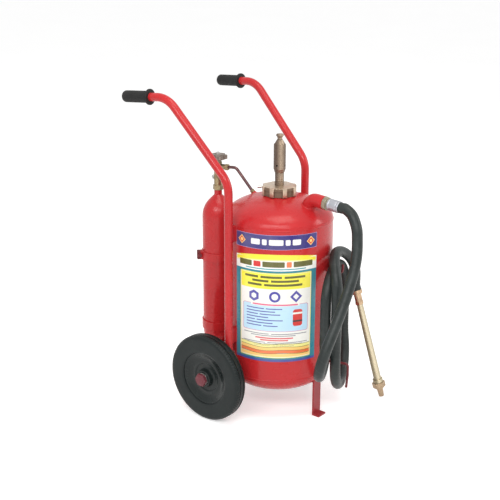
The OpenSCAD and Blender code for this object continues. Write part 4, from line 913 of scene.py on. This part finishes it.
class Print:
    """Flat print shapes on the tank: u across from the label's rear edge and v up, in mm."""

    def __init__(self, name, node):
        self.name, self.node = name, node
        self.parts, self.inks = [], []
        x, y, z = corners_of(node).T
        around = np.arctan2(-x, TANK_Y / MM - y)
        self.first, self.low, self.high = around.max(), z.min(), z.max()
        self.wide = (around.max() - around.min()) * TANK_R

    def put(self, u, v, faces, ink, layer):
        """Adds a shape: its points lie at the angle first - u / R round the tank, v up."""
        a, v = np.broadcast_arrays(self.first - np.asarray(u, float) / TANK_R, v)
        r = TANK_R + FILM_LIFT + INK_LIFT * layer
        points = placed(np.stack((-r * np.sin(a), -r * np.cos(a), v), -1).reshape(-1, 3))
        self.parts.append((points, faces))
        self.inks.append(np.tile((*ink, 1), (len(points), 1)))

    def bar(self, u0, u1, v0, v1, ink, layer=1, wave=None, rows=1):
        """A bar whose points lie at most about 2 mm apart, lifted by wave(u)."""
        n = max(1, round((u1 - u0) / 2))
        u = np.linspace(u0, u1, n + 1)[None, :]
        v = np.linspace(v0, v1, rows + 1)[:, None] + (wave(u) if wave else 0)
        self.put(u, v, grid_quads(rows + 1, n + 1).tolist(), ink, layer)

    def between(self, u, low, high, ink, layer):
        """The strip between two lines over the same u."""
        u, v = np.broadcast_arrays(u, np.stack(np.broadcast_arrays(low, high)))
        self.put(u, v, grid_quads(2, u.shape[1]).tolist(), ink, layer)

    def rounded(self, u0, u1, v0, v1, ink, layer=1, corner=3.0):
        """A bar with corners of a radius c: each column is shorter by c - sqrt(c^2 - d^2), where
        d is how far it lies in a corner."""
        ease = corner * (1 - np.cos(np.radians([0, 22, 45, 67, 90])))
        u = np.concatenate([u0 + ease, np.arange(u0 + corner + 2, u1 - corner - 1, 2),
                            (u1 - ease)[::-1]])
        d = np.maximum(0, np.maximum(corner - (u - u0), corner - (u1 - u)))
        cut = corner - np.sqrt(np.maximum(corner * corner - d * d, 0))
        self.between(u, v0 + cut, v1 - cut, ink, layer)

    def patch(self, u, v, radius, ink, layer=1, sides=40, turn=0.0, rings=6):
        """A disc or a regular polygon: its edge's points times ring / rings, round its middle."""
        a = turn + TAU * np.arange(sides) / sides
        corner = np.stack((np.cos(a), np.sin(a)), -1)
        split = max(1, 40 // sides)
        t = (np.arange(split) / split)[:, None]
        edge = corner[:, None] + (np.roll(corner, -1, 0) - corner)[:, None] * t
        grown = radius * (np.arange(1, rings + 1) / rings)[:, None, None] * edge.reshape(-1, 2)
        points = np.concatenate([[(0, 0)], grown.reshape(-1, 2)]) + (u, v)
        n = sides * split
        k = np.arange(n)
        fan = np.stack((0 * k, 1 + k, 1 + (k + 1) % n), -1).tolist()
        rest = (1 + grid_quads(rings, n, False, True))[:, ::-1].tolist()
        self.put(points[:, 0], points[:, 1], fan + rest, ink, layer)

    def lines(self, u0, widths, v, height, gap, ink, layer=2):
        """Plain bars under each other, in the place of small print."""
        for row, spans in enumerate(widths):
            top = v - row * (height + gap)
            for a, b in spans:
                self.bar(u0 + a, u0 + b, top - height, top, ink, layer)

    def finish(self):
        """Makes the printed sheet."""
        obj = piece(self.name, joined(self.parts), FILM, hides=(self.node,))
        layer = obj.data.color_attributes.new("ink", "FLOAT_COLOR", "POINT")
        layer.data.foreach_set("color", np.concatenate(self.inks).astype(np.float32).ravel())


def make_strip():
    """The navy strip: a pale rule round it, a set square at each end and plain pale bars."""
    p = Print("printed_strip", "name_strip")
    w, low, high = p.wide, p.low, p.high
    middle = (low + high) / 2
    p.rounded(0, w, low, high, LILAC, 0, 2.5)
    p.rounded(1, w - 1, low + 1, high - 1, NAVY, 1, 2)
    for u in (24, w - 24):
        p.patch(u, middle, 15, AMBER, 2, 4)
        p.patch(u, middle, 11.5, INK_RED, 3, 4)
        p.patch(u, middle, 5, AMBER, 4)
    for u0, u1 in ((0, 30), (37, 52), (59, 104), (111, 126), (133, 160)):
        p.rounded(w / 2 - 80 + u0, w / 2 - 80 + u1, middle - 9, middle + 9, WHITE, 2, 3)
    p.finish()


def print_header(p, w, high):
    """The arched yellow header with its plain blocks, and the white ground under it."""
    ground, arch_foot = high - 54, high - 13.2

    def arch(u):
        return 13 * (1 - (2 * u / w - 1) ** 2)

    def low_arch(u):
        return 0.8 * arch(u)

    p.bar(0, w, ground, arch_foot, WHITE, 0, None, 4)
    p.bar(0, w, arch_foot, arch_foot + 0.1, WHITE, 0)
    u = np.linspace(0, w, 71)
    p.between(u, arch_foot, arch_foot + arch(u), YELLOW, 0)
    p.bar(2.5, w - 2.5, high - 27, high - 17, YELLOW, 1, low_arch)
    p.bar(2.5, w - 2.5, high - 31, high - 27, CREAM, 1, low_arch)
    for u0, u1, ink in ((16, 62, OLIVE), (68, 92, INK_RED), (98, 168, OLIVE), (174, 190, ORANGE),
                        (196, w - 16, OLIVE)):
        p.rounded(u0, u1, high - 42, high - 24, ink, 2, 2.5)
    p.bar(40, w - 40, high - 50, high - 46.5, SEA, 2)


def print_box(p, w, top):
    """The pale blue box: plain lines and a small red shape."""
    p.rounded(30, w - 30, top - 92, top, PINK, 3, 7)
    p.rounded(31.6, w - 31.6, top - 90.4, top - 1.6, PALE, 4, 6)
    p.bar(60, w - 60, top - 6, top + 2, WHITE, 5)
    p.bar(66, w - 66, top - 4.4, top + 0.6, ROSE, 6)
    p.rounded(w - 82, w - 50, top - 74, top - 18, INK_RED, 5, 8)
    p.bar(w - 82, w - 50, top - 34, top - 28, WHITE, 6)
    p.bar(w - 82, w - 50, top - 60, top - 54, DARK, 6)
    rows = [[(0, 60), (66, 118)], [(0, 96)], [(0, 40), (46, 112)], [(0, 74)], [(0, 30), (36, 120)],
            [(0, 88)], [(0, 52), (58, 104)]]
    p.lines(44, rows, top - 14, 3.2, 6.4, BLUE, 5)


def make_panel():
    """The instruction panel: a header, a teal frame, and plain bars and shapes in place of text."""
    p = Print("printed_panel", "instruction_label")
    w, low = p.wide, p.low
    print_header(p, w, p.high)
    t = p.high - 54
    p.bar(0, w, low, t, TEAL, 0, None, 8)
    p.bar(0, w, low, low + 8, VIOLET, 1)
    p.rounded(19, w - 19, low + 13, t - 7, YELLOW, 1, 4)
    p.rounded(21, w - 21, low + 15, t - 9, WHITE, 2, 3.5)
    p.bar(22.5, w - 22.5, t - 60, t - 10, LEMON, 3, None, 2)
    p.lines(0, [[(38, 84), (92, 160), (168, 236)], [(64, 118), (126, 214)], [(48, 96), (104, 226)]],
            t - 17, 7.5, 5.5, OLIVE, 4)
    for u, outer, inner, sides, turn in ((70, 19, 9.5, 6, math.pi / 6), (138, 18, 10.5, 40, 0),
                                         (206, 20, 10, 4, 0)):
        p.patch(u, t - 85, outer, BLUE, 3, sides, turn)
        p.patch(u, t - 85, inner, WHITE, 4, sides, turn)
    print_box(p, w, t - 110)
    y = t - 209
    p.lines(0, [[(34, 120), (128, 244)], [(60, 206)]], y, 2.6, 3.4, GREY, 3)
    p.lines(0, [[(76, 198)], [(92, 182)]], y - 13, 4.6, 2.6, BRICK, 3)
    p.lines(0, [[(32, 108), (116, 246)], [(44, 96), (104, 230)], [(70, 202)]], y - 29, 2.4, 3,
            GREY, 3)

    def wave(u):
        return 1.8 * np.sin(u / 21)

    foot, stripe = low + 17, 11
    for k, ink in ((3, CREAM), (2, AMBER), (1, ORANGE), (0, AMBER)):
        v = foot + stripe * k
        p.bar(22.5, w - 22.5, v, v + stripe, ink, 3, wave if k else None)
    for k in (4, 3, 2, 1):
        v = foot + stripe * k
        p.bar(22.5, w - 22.5, v - 0.7, v + 0.7, OLIVE, 4, wave)
    p.finish()


make_strip()
make_panel()

# ---- welds ----

def dish_depth(r):
    """How far a dish of half an ellipse stands out past the shell at a distance from the axis."""
    return DISH * np.sqrt(np.maximum(0, 1 - (r / TANK_R) ** 2))


def on_dish(x, y):
    """Height of the top dish."""
    return SHELL_TOP + dish_depth(np.hypot(x, y))


def bead(name, paths, radius, pitch=3.6):
    """Rippled weld beads under the paint, each along a line in tank millimetres. At a length s the
    radius is times 0.9 + 0.12 |sin(pi s / pitch)|."""
    def ripple(s):
        return 0.9 + 0.12 * np.abs(np.sin(s / MM * math.pi / pitch))

    tubes = [sweep(placed(path), radius * MM, 10, ripple) for path in paths]
    piece(name, joined(tubes), RED, sharp=70)


def ring_of(r, count):
    """x = r cos a and y = r sin a, once round and back to the first point."""
    a = TAU * np.arange(count + 1) / count
    return r * np.cos(a), r * np.sin(a)


def circle(y0, r, height, step=1.2):
    """A ring round an upright axis at (0, y0), whose height is a number or a rule of x and y."""
    x, y = ring_of(r, int(TAU * r / step))
    z = height(x, y0 + y) if callable(height) else height
    return np.stack(np.broadcast_arrays(x, y0 + y, z), -1)


def slant_ring(foot, aim, r, step=1.2):
    """A ring round a tube that runs into the top dish along aim: each point slides along aim, by
    what is left between it and the dish, until it lies on the dish."""
    z = np.array(aim) / np.linalg.norm(aim)
    x = np.array((1, 0, 0)) - z * z[0]
    x /= np.linalg.norm(x)
    u, v = ring_of(r, int(TAU * r / step))
    p = foot + np.outer(u, x) + np.outer(v, np.cross(z, x))
    for _ in range(12):
        p = p - np.outer((p[:, 2] - on_dish(p[:, 0], p[:, 1])) / z[2], z)
    return p


def on_side(y, z, side):
    """Points on the tank at the left (-1) or right (1)."""
    return np.stack(np.broadcast_arrays(side * np.sqrt(TANK_R ** 2 - y * y), y, z), -1)


def on_back(x, z):
    """Points on the tank's back."""
    return np.stack(np.broadcast_arrays(x, np.sqrt(TANK_R ** 2 - x * x), z), -1)


def upright(point, length):
    """A line straight up from a point, in 40 steps."""
    return np.array(point) + np.outer(np.linspace(0, 1, 41), (0, 0, length))


def side_welds(side):
    """Beads of the stays, the bracket's webs and its sleeve at one side."""
    lines = []
    edge = 7.6
    tube_x = HANDLE_X - math.sqrt(HANDLE_R ** 2 - edge ** 2)
    for z in STAY_FEET:
        for y in (HANDLE_Y - edge, HANDLE_Y + edge):
            lines.append(upright(on_side(y, z, side), 50))
            lines.append(upright((side * tube_x, y, z), 50))
    for z in WEB_FEET:
        for face in (-0.6, 6.6):
            lines.append(on_side(np.linspace(WEB_Y, 123, 51), z + face, side))
    y, z = ring_of(SLEEVE_R, 70)
    for x in (196.6, 205.4):
        lines.append(np.stack(np.broadcast_arrays(side * x, AXLE_Y + y, AXLE_Z + z), -1))
    return lines


def frame_welds():
    """Beads where the stays, webs, saddles, rest, leg and hooks meet the tank and the tubes."""
    lines = []
    for side in (-1, 1):
        lines += side_welds(side)
        lines += [upright(on_back(side * 18.5, z), 30) for z in CLAMP_FEET]
        lines.append(upright(on_back(side * 3.5, 156.5), 39))
    lines.append(on_back(np.linspace(-30, 30, 41), 156.4))
    u, v = ring_of(HOOK_R, 30)
    lines += [beside(np.sqrt(TANK_R ** 2 - u * u), u, z + v) for z in HOOK_HEIGHTS]
    x = np.linspace(-LEG_HALF, LEG_HALF, 40)
    for y in (LEG_FRONT + 0.5, LEG_BACK - 0.5):
        foot = SHELL_Z - dish_depth(np.hypot(x, y)) - 0.4
        lines.append(np.stack(np.broadcast_arrays(x, -y, foot), -1))
    bead("frame_welds", lines, 2.2)


bead("girth_welds", [circle(0, TANK_R - 0.9, z, 1.5) for z in (SHELL_TOP, SHELL_Z)], 2.0)
bead("neck_weld", [circle(0, 44.6, on_dish(44.6, 0) + 0.5)], 3.0)
bead("outlet_weld", [circle(OUTLET_Y, 22.2, on_dish)], 2.8)
bead("boss_weld", [slant_ring(INLET_FOOT, INLET_DIR, 9.6)], 2.4)
frame_welds()

# ---- floor, light and size ----

# The light that the sky gives the object, and the floor's own glow in what is seen
SKY, FLOOR_GLOW = 0.6, 0.42


def seen_rays(tree):
    """1 for what the camera, a reflection or glass sees, 0 for light on the object."""
    seen = add(tree, "LightPath").outputs
    return math_node(tree, "MAXIMUM", seen["Is Camera Ray"],
                     math_node(tree, "MAXIMUM", seen["Is Glossy Ray"], seen["Is Transmission Ray"]))


def make_floor():
    """A plain pale floor, with a very faint mottle, just under the object's feet."""
    mat, tree, shader = start("floor_pale")
    mottle = remap(tree, noise(tree, 1.2, 3), 0.3, 0.7, 0, 1)
    dress(tree, shader, Base_Color=mix(tree, mottle, (0.9, 0.9, 0.9), (0.92, 0.92, 0.92)),
          Roughness=0.9, Specular_IOR_Level=0.1, Emission_Color=(1, 1, 1),
          Emission_Strength=math_node(tree, "MULTIPLY", seen_rays(tree), FLOOR_GLOW))
    mesh = bpy.data.meshes.new("floor")
    reach = 60.0
    edges = [(-reach, -reach, 0), (reach, -reach, 0), (reach, reach, 0), (-reach, reach, 0)]
    mesh.from_pydata(edges, [], [(0, 1, 2, 3)])
    mesh.materials.append(mat)
    obj = bpy.data.objects.new("floor", mesh)
    obj.location.z = -0.0005
    bpy.context.scene.collection.objects.link(obj)


def soft_box(name, at, target, size, power, colour=(1, 1, 1)):
    """A soft box aimed at a point."""
    data = bpy.data.lights.new(name, "AREA")
    data.shape = "RECTANGLE"
    data.size, data.size_y = size
    data.energy = power
    data.color = colour
    obj = bpy.data.objects.new(name, data)
    obj.location = at
    obj.rotation_euler = (Vector(target) - Vector(at)).to_track_quat("-Z", "Y").to_euler()
    bpy.context.scene.collection.objects.link(obj)


def make_light():
    """A bright even studio: a sky that is seen as white, and three soft boxes."""
    world = bpy.data.worlds.new("studio")
    bpy.context.scene.world = world
    world.use_nodes = True
    tree = world.node_tree
    sky = tree.nodes["Background"]
    seen = math_node(tree, "MULTIPLY", seen_rays(tree), 1 - SKY)
    feed(tree, sky.inputs["Color"], (1, 1, 1))
    feed(tree, sky.inputs["Strength"], math_node(tree, "ADD", seen, SKY))
    soft_box("key", (-3.4, -1.9, 3.2), (0, 0, 0.5), (4.4, 1.0), 130)
    soft_box("fill", (2.4, -3.0, 2.2), (0, 0, 0.5), (1.2, 2.0), 35)
    soft_box("top", (-0.4, -0.7, 4.2), (0, 0, 0.7), (2.0, 2.0), 50, (1, 0.94, 0.86))
    bpy.context.scene.view_settings.view_transform = "Standard"


make_floor()
make_light()
